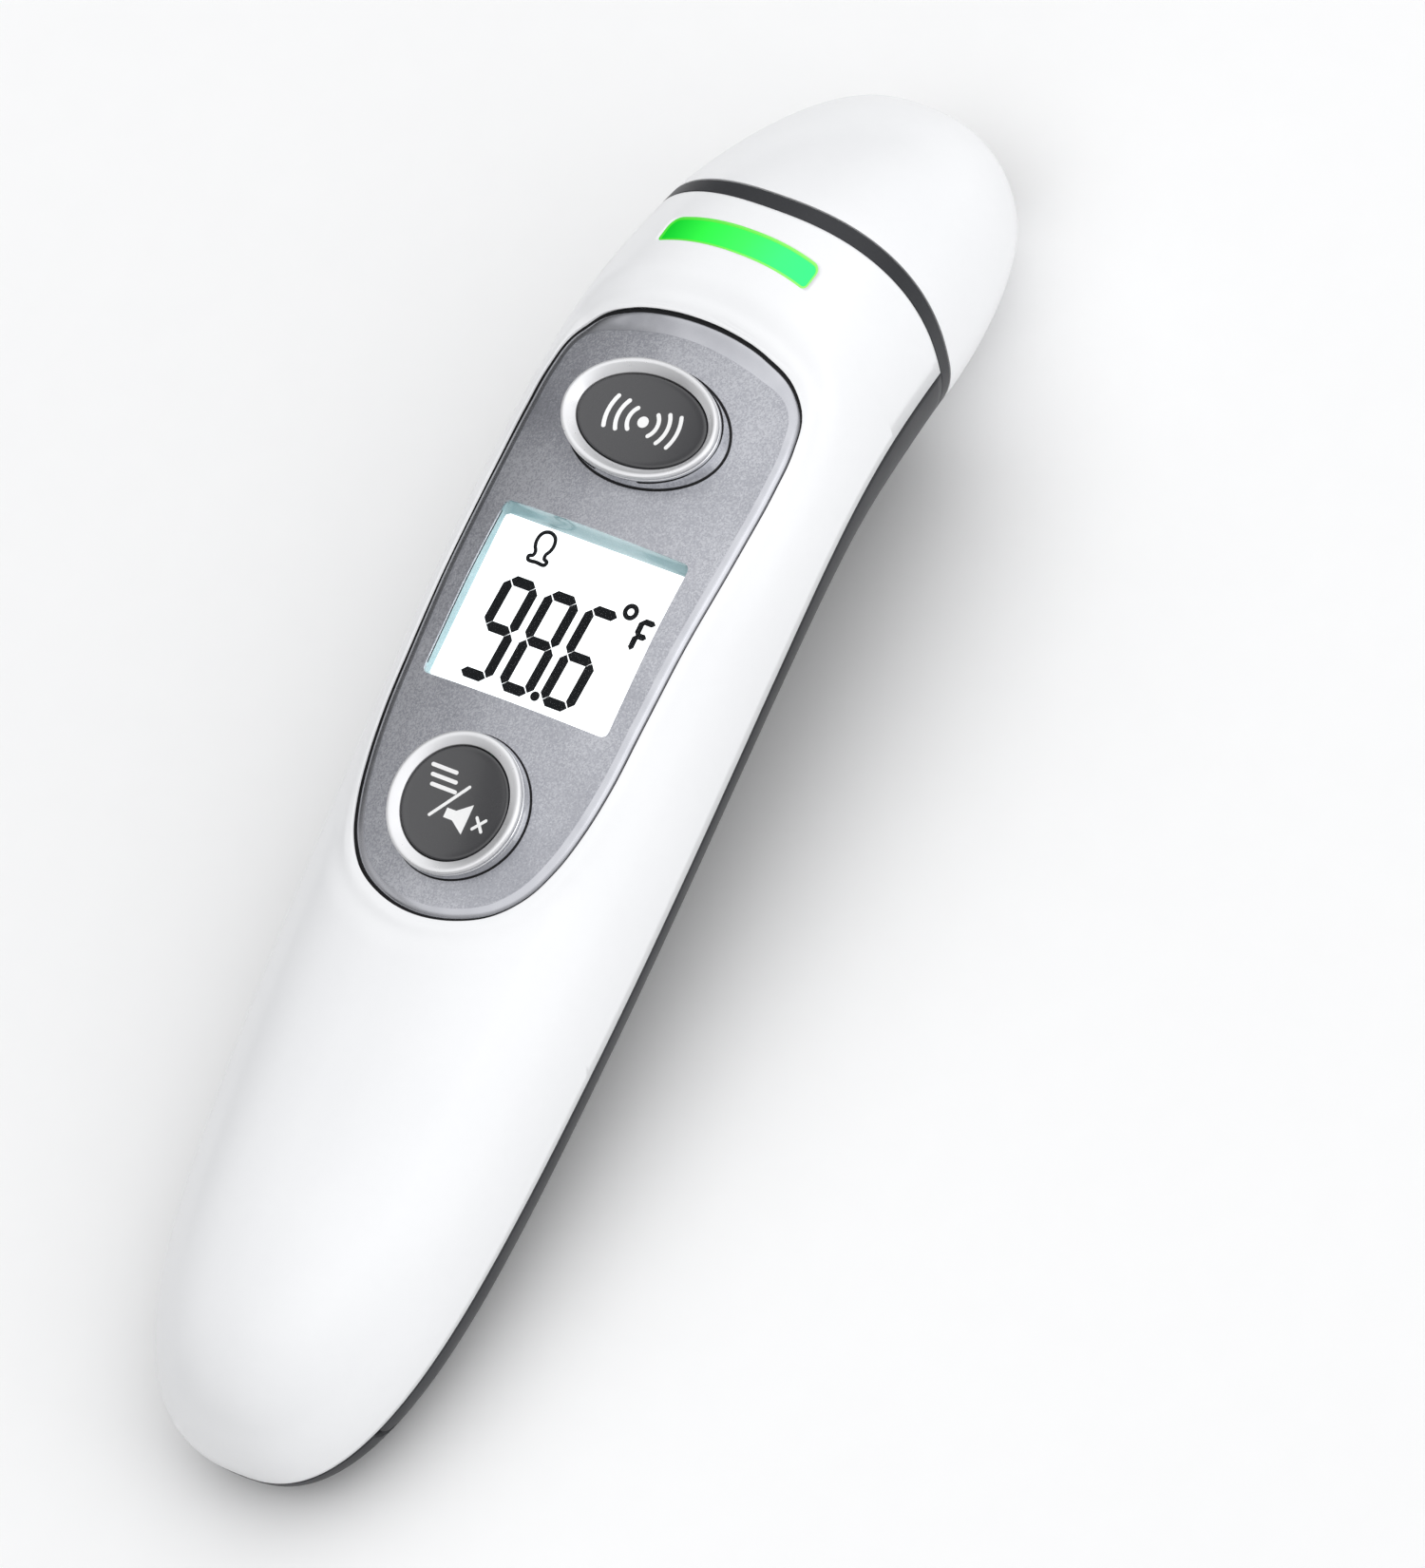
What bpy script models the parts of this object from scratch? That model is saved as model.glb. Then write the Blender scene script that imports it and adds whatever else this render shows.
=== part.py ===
"""Ear and forehead thermometer lying on its back: +Z up, +Y towards the head, metres."""

import math

import bpy
import numpy as np
from mathutils import Matrix, Vector

MM = 0.001
# Resting attitude: the handle frame is turned about X, then lifted so that the floor is z = 0.
REST_TILT = math.radians(9.2)
REST_LIFT = 28.0
REST_SHIFT_Y = -11.362
# Spine of the body, in the handle frame, mm. It is the parting line between front and rear.
SPINE_START = (-69.7, -11.0)
HANDLE_DROP = math.radians(1.6)
HEAD_BEND = math.radians(31.6)
BEND_FROM, BEND_TO = 97.4, 136.3
RING_AT = 133.6
CAP_LONG = 24.3
SPINE_STEPS = 640
# Half-width, front depth and rear depth at these stations along the spine.
STATIONS = (0.0, 30.0, 60.0, 90.0, 110.0, 124.0, 135.0)
HALF_WIDTHS = (17.4, 17.6, 18.8, 19.2, 19.2, 18.4, 17.5)
FRONT_DEPTHS = (14.1, 14.4, 14.6, 14.3, 12.9, 15.3, 16.2)
REAR_DEPTHS = (9.5, 10.4, 11.1, 11.8, 12.9, 14.2, 13.5)
TAIL_LENGTHS = (47.0, 25.7, 37.8)
TAIL_POWER = 2.68
FRONT_POWERS = ((0.0, 50.0, 100.0, 150.0), (2.3, 2.6, 2.75, 2.4))
REAR_POWERS = ((0.0, 70.0, 140.0), (2.2, 1.85, 1.95))
CAP_POWERS = (1.45, 2.15)
CAP_HOLE_R = 6.5
# Walls and gaps.
WALL = 1.8
CAP_WALL = 1.9
GAP = 0.3
SEAM = 0.2
# Front panel: half outline as (x, station), symmetric about x = 0.
PANEL_HALF = (
    (0.0, 58.7), (4.2, 59.4), (7.4, 61.0), (9.8, 63.7), (11.3, 67.1), (12.4, 71.6),
    (13.0, 76.0), (13.4, 83.4), (13.8, 93.3), (14.2, 103.8), (14.3, 109.7), (14.1, 113.5),
    (13.4, 116.0), (11.8, 117.5), (8.3, 118.6), (4.2, 119.2), (0.0, 119.4),
)
PANEL_SUNK = 0.5
PANEL_THICK = 1.2
PANEL_DROP = 2.3
PANEL_REACH = 14.8
PANEL_DIP, DIP_FROM, DIP_LONG = 1.6, 92.0, 28.0
RIM_GAP = 0.15
RIM_WIDE = 0.85
# Buttons: station, half sizes of the cap and of its ring, heights of both above the panel.
MODE_AT, MODE_R, MODE_RING = 69.4, (6.2, 6.2), (7.65, 7.65)
SCAN_AT, SCAN_R, SCAN_RING = 110.8, (7.4, 4.75), (9.2, 6.55)
MODE_UP, SCAN_UP = 1.25, 1.4
MODE_CREST, SCAN_CREST = 1.65, 2.25
RING_CLEAR = 0.2
LCD_HALF = 11.45
LCD_FROM, LCD_TO = 81.1, 100.6
# Status light bar.
LENS_HALF, LENS_TALL, LENS_AT, LENS_ARCH = 9.3, 2.5, 127.8, 0.7
# Battery cover.
COVER_HALF, COVER_TO = 12.6, 62.0
AAA_R, AAA_LONG, AAA_X, AAA_Z = 5.25, 44.5, 5.35, -12.4

for old in list(bpy.data.objects):
    bpy.data.objects.remove(old, do_unlink=True)


def curve(x, knots, values):
    """A smooth line through (knots, values)."""
    knots = np.asarray(knots, float)
    values = np.asarray(values, float)
    step = np.diff(knots)
    rise = np.diff(values) / step
    slope = np.empty_like(values)
    slope[0], slope[-1] = rise[0], rise[-1]
    slope[1:-1] = (rise[:-1] * step[1:] + rise[1:] * step[:-1]) / (step[:-1] + step[1:])
    i = int(np.clip(np.searchsorted(knots, x, side="right") - 1, 0, len(knots) - 2))
    t = (x - knots[i]) / step[i]
    t2, t3 = t * t, t * t * t
    return float(
        (2 * t3 - 3 * t2 + 1) * values[i] + (t3 - 2 * t2 + t) * step[i] * slope[i]
        + (3 * t2 - 2 * t3) * values[i + 1] + (t3 - t2) * step[i] * slope[i + 1]
    )


def bend(s):
    s = min(s, RING_AT)
    t = min(max((s - BEND_FROM) / (BEND_TO - BEND_FROM), 0.0), 1.0)
    return -HEAD_BEND * t * t * (3 - 2 * t) - HANDLE_DROP * (1 - s / RING_AT)


def spine_table():
    reach = RING_AT + CAP_LONG + 1.0
    stations = np.linspace(0.0, reach, SPINE_STEPS)
    angles = np.array([bend(s) for s in stations])
    dy = np.cos((angles[1:] + angles[:-1]) / 2) * np.diff(stations)
    dz = np.sin((angles[1:] + angles[:-1]) / 2) * np.diff(stations)
    ys = SPINE_START[0] + np.concatenate(([0.0], np.cumsum(dy)))
    zs = SPINE_START[1] + np.concatenate(([0.0], np.cumsum(dz)))
    return stations, ys, zs


SPINE = spine_table()


def spine(s):
    """Point on the spine, linear beyond both ends."""
    stations, ys, zs = SPINE
    over = s - min(max(s, 0.0), stations[-1])
    angle = bend(max(s, 0.0))
    y = float(np.interp(s, stations, ys)) + over * math.cos(angle)
    z = float(np.interp(s, stations, zs)) + over * math.sin(angle)
    return y, z, angle


def place(x, s, h):
    """Handle-frame point at width x, station s and height h above the parting surface."""
    y, z, angle = spine(s)
    return Vector((x, y - math.sin(angle) * h, z + math.cos(angle) * h))


def depths(s):
    """Half-width, front depth and rear depth of the outer skin at a station."""
    body = min(s, RING_AT)
    found = []
    for values, tail in zip((HALF_WIDTHS, FRONT_DEPTHS, REAR_DEPTHS), TAIL_LENGTHS):
        u = min(max(1 - body / tail, 0.0), 1.0)
        found.append(curve(body, STATIONS, values) * (1 - u**TAIL_POWER) ** (1 / TAIL_POWER))
    if s > RING_AT:
        t = min((s - RING_AT) / CAP_LONG, 1.0)
        keep = max(1 - t ** CAP_POWERS[0], 0.0) ** (1 / CAP_POWERS[1])
        found = [v * keep + CAP_HOLE_R * (1 - keep) for v in found]
    return found


def powers(s):
    return curve(s, *FRONT_POWERS), curve(s, *REAR_POWERS)


def section(s, phi, inset=0.0, floor=0.6):
    """(x, h) on the skin at a station, phi counted from +x through the front."""
    half, front, rear = (max(v - inset, floor) for v in depths(s))
    n_front, n_rear = powers(s)
    c, d = math.cos(phi), math.sin(phi)
    n, deep = (n_front, front) if d >= 0 else (n_rear, rear)
    x = half * math.copysign(abs(c) ** (2 / n), c)
    return x, deep * math.copysign(abs(d) ** (2 / n), d)


def front_height(x, s):
    half, front, _ = depths(s)
    n, _ = powers(s)
    return front * max(1 - (abs(x) / half) ** n, 0.0) ** (1 / n)


def panel_height(x, s):
    dip = PANEL_DIP * (max(s - DIP_FROM, 0.0) / DIP_LONG) ** 2
    return depths(s)[1] - PANEL_SUNK - PANEL_DROP * (x / PANEL_REACH) ** 2 - dip


def material(name, colour, rough, metal=0.0, alpha=1.0):
    mat = bpy.data.materials.new(name)
    mat.use_nodes = True
    shader = mat.node_tree.nodes["Principled BSDF"]
    shader.inputs["Base Color"].default_value = (*colour, 1.0)
    shader.inputs["Roughness"].default_value = rough
    shader.inputs["Metallic"].default_value = metal
    shader.inputs["Alpha"].default_value = alpha
    return mat


WHITE = ("white_plastic", (0.86, 0.87, 0.88), 0.35)
GREY = ("dark_plastic", (0.09, 0.10, 0.11), 0.4)
SILVER = ("silver_plastic", (0.55, 0.57, 0.58), 0.3, 0.6)
CHROME = ("chrome", (0.85, 0.86, 0.88), 0.08, 1.0)
GREEN = ("green_lens", (0.45, 0.85, 0.25), 0.2, 0.0, 0.7)
CLEAR = ("clear_window", (0.9, 0.95, 0.95), 0.05, 0.0, 0.35)
BOARD = ("board_green", (0.05, 0.28, 0.12), 0.5)
BLACK = ("black_epoxy", (0.02, 0.02, 0.02), 0.4)
STEEL = ("steel", (0.62, 0.63, 0.65), 0.25, 1.0)
CELL = ("battery_sleeve", (0.12, 0.14, 0.2), 0.3, 0.4)
BRASS = ("gold_plate", (0.8, 0.62, 0.3), 0.25, 1.0)
FILM = ("flex_film", (0.75, 0.42, 0.1), 0.4)
FRAME = ("inner_plastic", (0.72, 0.73, 0.74), 0.5)
GLOW = ("backlight", (0.92, 0.97, 0.98), 0.4)


def seat(point, origin=Vector((0, 0, 0))):
    """Handle frame in mm to resting frame in metres, seen from a resting-frame origin."""
    turned = Matrix.Rotation(REST_TILT, 3, "X") @ Vector(point)
    return (turned + Vector((0.0, REST_SHIFT_Y, REST_LIFT))) * MM - origin


def volume(points, faces):
    """Signed volume, positive when the faces point outwards."""
    total = 0.0
    for face in faces:
        first = points[face[0]]
        for k in range(1, len(face) - 1):
            total += first.dot(points[face[k]].cross(points[face[k + 1]]))
    return total


def add(name, points, faces, look, pivot=None, smooth=True):
    """An object from handle-frame points; its origin is the pivot."""
    origin = seat(pivot) if pivot is not None else Vector((0, 0, 0))
    if volume(points, faces) < 0:
        faces = [tuple(reversed(face)) for face in faces]
    mesh = bpy.data.meshes.new(name)
    mesh.from_pydata([seat(p, origin) for p in points], [], faces)
    mesh.update()
    if look:
        mesh.materials.append(material(name, *look[1:]))
    obj = bpy.data.objects.new(name, mesh)
    obj.location = origin
    bpy.context.scene.collection.objects.link(obj)
    if smooth:
        mesh.shade_smooth()
        mesh.set_sharp_from_angle(angle=math.radians(35))
    return obj


def cutter(name, points, faces):
    obj = add(name, points, faces, None, smooth=False)
    obj.hide_render = True
    obj.display_type = "WIRE"
    return obj


def cut(obj, tool, how="DIFFERENCE"):
    step = obj.modifiers.new(tool.name, "BOOLEAN")
    step.operation = how
    step.solver = "EXACT"
    step.object = tool


def ring_faces(rows, count):
    """Quads between consecutive rows of a loft whose rows are closed loops."""
    return [
        (r * count + j, r * count + (j + 1) % count,
         (r + 1) * count + (j + 1) % count, (r + 1) * count + j)
        for r in range(rows - 1) for j in range(count)
    ]


def solid_loops(loops):
    """A closed body through the loops, its two ends capped flat."""
    count = len(loops[0])
    points = [p for loop in loops for p in loop]
    faces = ring_faces(len(loops), count)
    faces.append(tuple(reversed(range(count))))
    last = (len(loops) - 1) * count
    faces.append(tuple(last + j for j in range(count)))
    return points, faces


def torus_loops(loops):
    """A closed ring-shaped body: the last loop joins the first."""
    count = len(loops[0])
    points = [p for loop in loops for p in loop]
    faces = ring_faces(len(loops), count)
    last = (len(loops) - 1) * count
    faces += [
        (last + j, last + (j + 1) % count, (j + 1) % count, j) for j in range(count)
    ]
    return points, faces


def around(count):
    return [2 * math.pi * j / count for j in range(count)]


def skin_ring(profile, count):
    """Ring round the spine from a closed profile of (station, inset) or (station, None, radius)."""
    loops = []
    for entry in profile:
        loop = []
        for phi in around(count):
            if entry[1] is None:
                x, h = entry[2] * math.cos(phi), entry[2] * math.sin(phi)
            else:
                x, h = section(entry[0], phi, entry[1])
            loop.append(place(x, entry[0], h))
        loops.append(loop)
    return torus_loops(loops)


def half_shell(side, stations, inner_from, wall, count):
    """Front (+1) or rear (-1) half shell, closed at the tail and open at the last station."""
    end = stations[-1]
    points, faces = [], []

    def arc(s, inset):
        row = []
        for j in range(count + 1):
            x, h = section(s, side * math.pi * j / count, inset)
            row.append(place(x, s, side * max(abs(h), SEAM / 2)))
        return row

    inner = [inner_from + (s - stations[0]) * (end - inner_from) / (end - stations[0])
             for s in stations]
    for s, t in zip(stations, inner):
        points += arc(s, 0.0) + arc(t, wall)
    wide = 2 * (count + 1)
    tip = len(points)
    points.append(place(0.0, -0.25, side * SEAM / 2))
    points.append(place(0.0, inner_from, side * SEAM / 2))
    for r in range(len(stations) - 1):
        a, b = r * wide, (r + 1) * wide
        for j in range(count):
            faces.append((a + j, b + j, b + j + 1, a + j + 1))
            k = count + 1 + j
            faces.append((a + k, a + k + 1, b + k + 1, b + k))
        faces.append((a, a + count + 1, b + count + 1, b))
        faces.append((a + count, b + count, b + wide - 1, a + wide - 1))
    for j in range(count):
        k = count + 1 + j
        faces.append((tip, j, j + 1))
        faces.append((tip + 1, k + 1, k))
    faces.append((tip, tip + 1, count + 1, 0))
    faces.append((tip, count, wide - 1, tip + 1))
    last = (len(stations) - 1) * wide
    for j in range(count):
        k = count + 1 + j
        faces.append((last + j, last + k, last + k + 1, last + j + 1))
    return points, faces


def mirrored(half):
    """Full outline from its half, counter-clockwise seen from the front."""
    return list(half) + [(-x, s) for x, s in reversed(half[1:-1])]


def grown(outline, by):
    """The outline moved outwards."""
    count = len(outline)
    found = []
    for k in range(count):
        (xa, sa), (xb, sb) = outline[k - 1], outline[(k + 1) % count]
        dx, ds = xb - xa, sb - sa
        long = math.hypot(dx, ds)
        found.append((outline[k][0] + by * ds / long, outline[k][1] - by * dx / long))
    return found


def rounded_box(half_x, s0, s1, r, steps=3):
    found = []
    corners = ((half_x - r, s0 + r, -90), (half_x - r, s1 - r, 0),
               (r - half_x, s1 - r, 90), (r - half_x, s0 + r, 180))
    for cx, cs, start in corners:
        for k in range(steps + 1):
            t = math.radians(start + 90 * k / steps)
            found.append((cx + r * math.cos(t), cs + r * math.sin(t)))
    return found


def plate(outline, top, thick, rings=4):
    """A slab over the outline: top(x, s) is its height, thick its depth."""
    cs = sum(s for _, s in outline) / len(outline)
    points, count = [], len(outline)
    for under in (0.0, thick):
        for k in range(rings):
            f = 1 - k / rings
            for x, s in outline:
                px, ps = x * f, cs + (s - cs) * f
                points.append(place(px, ps, top(px, ps) - under))
        points.append(place(0.0, cs, top(0.0, cs) - under))
    size = rings * count + 1
    faces = []
    for base, flip in ((0, False), (size, True)):
        part = [
            (base + k * count + j, base + k * count + (j + 1) % count,
             base + (k + 1) * count + (j + 1) % count, base + (k + 1) * count + j)
            for k in range(rings - 1) for j in range(count)
        ]
        inner = base + (rings - 1) * count
        part += [(inner + j, inner + (j + 1) % count, base + size - 1) for j in range(count)]
        faces += [tuple(reversed(f)) for f in part] if flip else part
    faces += [(j, size + j, size + (j + 1) % count, (j + 1) % count) for j in range(count)]
    return points, faces


def prism(outline, high, low):
    """A straight-sided cutter over the outline between two heights."""
    loops = [[place(x, s, h) for x, s in outline] for h in (low, high)]
    return solid_loops(loops)


def outline_ring(outline, profile, top):
    """A ring along an outline from a closed profile of (outward, up)."""
    loops = []
    for out, up in profile:
        loops.append([place(x, s, top(x, s) + up) for x, s in grown(outline, out)])
    return torus_loops(loops)


def frame_at(s, slope=None):
    """Origin and axes (across, along, up) of a local frame on the spine."""
    y, z, angle = spine(s)
    turn = angle if slope is None else slope
    return (Vector((0, y, z)), Vector((1, 0, 0)),
            Vector((0, math.cos(turn), math.sin(turn))),
            Vector((0, -math.sin(turn), math.cos(turn))))


def button_frame(s):
    """Frame on the panel's centre line with its up axis square to the panel."""
    a, b = place(0, s - 1, panel_height(0, s - 1)), place(0, s + 1, panel_height(0, s + 1))
    slope = math.atan2(b.z - a.z, b.y - a.y)
    _, across, along, up = frame_at(s, slope)
    return place(0, s, panel_height(0, s)), across, along, up


HANDLE = (Vector((0, 0, 0)), Vector((1, 0, 0)), Vector((0, 1, 0)), Vector((0, 0, 1)))


def spot(frame, x, y, z):
    origin, across, along, up = frame
    return origin + across * x + along * y + up * z


def turned(frame, profile, centre=(0.0, 0.0), count=20, ring=False):
    """A lathe body about the frame's up axis, from (radius, height) pairs."""
    loops = [
        [spot(frame, centre[0] + r * math.cos(t), centre[1] + r * math.sin(t), z)
         for t in around(count)]
        for r, z in profile
    ]
    return torus_loops(loops) if ring else solid_loops(loops)


def oval(frame, profile, half, count=28, ring=False):
    """As turned, with half sizes plus an outward offset: (offset, height) pairs."""
    loops = [
        [spot(frame, (half[0] + o) * math.cos(t), (half[1] + o) * math.sin(t), z)
         for t in around(count)]
        for o, z in profile
    ]
    return torus_loops(loops) if ring else solid_loops(loops)


def block(frame, centre, size):
    cx, cy, cz = centre
    hx, hy, hz = (v / 2 for v in size)
    loops = [
        [spot(frame, cx + a * hx, cy + b * hy, cz + c * hz)
         for a, b in ((-1, -1), (1, -1), (1, 1), (-1, 1))]
        for c in (-1, 1)
    ]
    return solid_loops(loops)


# ---------------------------------------------------------------- casings
BAND_WIDE = 1.7
BODY_END = RING_AT - BAND_WIDE - GAP
TAIL_STATIONS = (0.12, 0.6, 1.6, 3.4, 6.0, 9.5, 14.0, 20.0)
BODY_STATIONS = TAIL_STATIONS + tuple(
    20.0 + (BODY_END - 20.0) * k / 16 for k in range(1, 17)
)
INNER_FROM = 2.4
SHELL_STEPS = 18

points, faces = half_shell(1, BODY_STATIONS, INNER_FROM, WALL, SHELL_STEPS)
front = add("front_casing", points, faces, WHITE)
points, faces = half_shell(-1, BODY_STATIONS, INNER_FROM, WALL, SHELL_STEPS)
rear = add("rear_casing", points, faces, GREY)
cover_pivot = place(0.0, COVER_TO, -8.0)
cover = add("battery_cover", points, faces, GREY, pivot=cover_pivot)

PANEL = mirrored(PANEL_HALF)
OPENING_OUT = RIM_GAP + RIM_WIDE + SEAM
cut(front, cutter("panel_opening", *prism(grown(PANEL, OPENING_OUT), 24.0, 5.2)))


def lens_outline(by=0.0):
    """Long rounded bar that arches with the ring above it."""
    found = []
    for t in around(28):
        c, d = math.cos(t), math.sin(t)
        x = (LENS_HALF + by) * math.copysign(abs(c) ** 0.45, c)
        up = (LENS_TALL / 2 + by) * math.copysign(abs(d) ** 0.6, d)
        found.append((x, LENS_AT - LENS_ARCH * (x / LENS_HALF) ** 2 + up))
    return found


cut(front, cutter("lens_opening", *prism(lens_outline(SEAM), 24.0, 6.0)))
COVER_END = place(0.0, COVER_TO, 0.0).y
BEYOND = 90.0


def cover_box(half, end):
    return block(HANDLE, (0.0, (end - BEYOND) / 2, -25.0), (2 * half, end + BEYOND, 40.0))


def floor_box():
    """Everything under the resting plane, as a cutter."""
    back = Matrix.Rotation(-REST_TILT, 3, "X")
    corners = [(a * 30.0, b * 110.0) for a, b in ((-1, -1), (1, -1), (1, 1), (-1, 1))]
    loops = [
        [back @ (Vector((x, y, z)) - Vector((0, REST_SHIFT_Y, REST_LIFT))) for x, y in corners]
        for z in (-10.0, 0.0)
    ]
    return solid_loops(loops)


FLOOR = cutter("resting_plane", *floor_box())
cut(rear, cutter("cover_opening", *cover_box(COVER_HALF + GAP, COVER_END + GAP)))
cut(cover, cutter("cover_outline", *cover_box(COVER_HALF, COVER_END)), "INTERSECT")
cut(cover, FLOOR)

# ---------------------------------------------------------------- head, cap and ear probe
BOSS_LONG = 5.0
COLLAR_HOLE = 10.3
COLLAR = [
    (RING_AT, 0.0), (RING_AT - 0.8, 0.0), (RING_AT - BAND_WIDE, 0.0),
    (RING_AT - BAND_WIDE, 3.0), (RING_AT - BAND_WIDE, None, COLLAR_HOLE),
    (RING_AT - 0.6, None, COLLAR_HOLE),
    (RING_AT - 0.6, 3.2), (RING_AT + BOSS_LONG, 3.2), (RING_AT + BOSS_LONG, 2.5),
    (RING_AT + BOSS_LONG - 0.5, 2.2), (RING_AT, 2.2),
]
add("head_collar", *skin_ring(COLLAR, 40), GREY)

CAP_FROM = RING_AT + 0.3
CAP_STEPS = 9
INNER_LONG = CAP_LONG - CAP_WALL
HOLE_INSET = 0.9


def cap_loop(s, inset, squeeze):
    """One loop of the cap; the inner skin is the outer one drawn in and shortened."""
    out = RING_AT + (s - RING_AT) * squeeze
    loop = []
    for phi in around(40):
        x, h = section(out, phi, inset, CAP_HOLE_R - HOLE_INSET)
        loop.append(place(x, s, h))
    return loop


cap_stations = [
    CAP_FROM + (RING_AT + CAP_LONG - CAP_FROM) * math.sin(math.pi / 2 * k / CAP_STEPS)
    for k in range(CAP_STEPS + 1)
]
cap_loops = [cap_loop(s, 0.0, 1.0) for s in cap_stations]
for s in reversed(cap_stations):
    inner_s = CAP_FROM + (s - CAP_FROM) * INNER_LONG / CAP_LONG
    cap_loops.append(cap_loop(inner_s, CAP_WALL, CAP_LONG / INNER_LONG))
HEAD_ROOT = place(0.0, RING_AT, 0.0)
cap = add("forehead_cap", *torus_loops(cap_loops), WHITE, pivot=HEAD_ROOT)
cut(cap, FLOOR)

_, ACROSS, HEAD_DIR, HEAD_UP = frame_at(RING_AT)
HEAD = (HEAD_ROOT, ACROSS, -HEAD_UP, HEAD_DIR)
TIP = CAP_LONG
add("cap_tip_ring", *turned(HEAD, [(5.5, TIP - 2.4), (5.5, TIP - 0.4), (4.8, TIP - 0.3),
                                   (4.8, TIP - 2.4)], ring=True), GREY, pivot=HEAD_ROOT)
MAGNET_S = 8.0
magnet_h = depths(RING_AT + MAGNET_S)[1] - CAP_WALL - 1.4
add("cap_magnet", *block(HEAD, (0.0, -magnet_h, MAGNET_S), (5.0, 1.2, 3.0)), STEEL,
    pivot=HEAD_ROOT)

PROBE = [
    (11.4, -4.6), (11.4, -2.6), (10.0, -2.4), (10.0, 1.0), (9.4, 3.0), (7.9, 8.0), (6.4, 13.0),
    (5.2, 17.0), (4.6, 19.0), (4.0, 19.9), (3.2, 20.2), (2.6, 20.0), (2.6, 16.0), (3.6, 15.2),
    (3.6, -4.6),
]
add("ear_probe", *turned(HEAD, PROBE, count=24, ring=True), WHITE)
add("probe_window", *turned(HEAD, [(2.4, 19.2), (2.4, 19.7)]), CLEAR)
add("waveguide", *turned(HEAD, [(2.2, 1.4), (2.2, 18.9), (1.8, 18.9), (1.8, 1.4)], ring=True),
    BRASS)
add("sensor_sleeve", *turned(HEAD, [(3.4, 2.0), (3.4, 14.6), (2.4, 14.6), (2.4, 2.0)],
                             ring=True), FRAME)
add("thermopile", *turned(HEAD, [(3.3, -2.6), (3.3, -1.9), (2.7, -1.7), (2.7, 0.8),
                                 (2.4, 1.1)]), STEEL)
add("sensor_holder", *turned(HEAD, [(3.45, -4.4), (3.45, -2.8)]), FRAME)
add("sensor_board", *block(HEAD, (0.0, 0.0, -5.6), (15.0, 15.0, 1.0)), BOARD)
add("cap_sensor", *block(HEAD, (9.2, -9.5, -4.2), (3.0, 1.4, 2.0)), BLACK)

# ---------------------------------------------------------------- front panel and light
panel = add("faceplate", *plate(PANEL, panel_height, PANEL_THICK), SILVER)
LCD = rounded_box(LCD_HALF, LCD_FROM, LCD_TO, 0.8)
cut(panel, cutter("lcd_hole", *prism(LCD, 24.0, 2.0)))
RIM = [(RIM_GAP + RIM_WIDE, -1.4), (RIM_GAP + RIM_WIDE, 0.0), (RIM_GAP + 0.5, 0.3),
       (RIM_GAP, 0.1), (RIM_GAP, -1.4)]
add("faceplate_rim", *outline_ring(PANEL, RIM, panel_height), CHROME)


def window_top(x, s):
    return panel_height(x, s) - 0.15


def lens_top(x, s):
    return front_height(x, s) - 0.05


def guide_top(x, s):
    return front_height(x, s) - 2.0


add("display_window", *plate(rounded_box(LCD_HALF - 0.2, LCD_FROM + 0.2, LCD_TO - 0.2, 0.7),
                             window_top, 0.9, 3), CLEAR)
add("status_light_lens", *plate(lens_outline(), lens_top, 1.7, 3), GREEN)
GUIDE = [(x * 0.86, LENS_AT + (s - LENS_AT) * 0.7) for x, s in lens_outline()]
add("light_guide", *plate(GUIDE, guide_top, 1.2, 2), GLOW)
LIGHT = frame_at(LENS_AT)
led_h = depths(LENS_AT)[1] - 4.2
add("status_led", *block(LIGHT, (0.0, 0.0, led_h), (3.0, 2.0, 1.2)), GLOW)


# ---------------------------------------------------------------- buttons
def button(prefix, at, half, ring, up, crest, long):
    """Chrome ring, cap that moves inwards and the plunger under it."""
    frame = button_frame(at)
    hole = oval(frame, [(RING_CLEAR, -4.0), (RING_CLEAR, 4.0)], ring)
    cut(panel, cutter(prefix + "_hole", *hole))
    wide = ring[0] - half[0]
    profile = [(wide, -1.4), (wide, crest - 0.8), (wide - 0.3, crest - 0.15),
               (wide - 0.7, crest), (0.6, up + 0.2), (RING_CLEAR, up - 0.2), (RING_CLEAR, -1.4)]
    add(prefix + "_button_ring", *oval(frame, profile, half, ring=True), CHROME)
    cap_shape = [(0.0, -1.2), (0.0, up - 0.25), (-0.3, up)]
    add(prefix + "_button", *oval(frame, cap_shape, half), GREY, pivot=frame[0])
    add(prefix + "_plunger", *turned(frame, [(1.6, -1.4 - long), (1.6, -1.4)], count=16),
        BLACK, pivot=frame[0])
    return spot(frame, 0.0, 0.0, -1.4 - long)


mode_stem = button("mode", MODE_AT, MODE_R, MODE_RING, MODE_UP, MODE_CREST, 3.0)
scan_stem = button("scan", SCAN_AT, SCAN_R, SCAN_RING, SCAN_UP, SCAN_CREST, 2.2)

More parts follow.
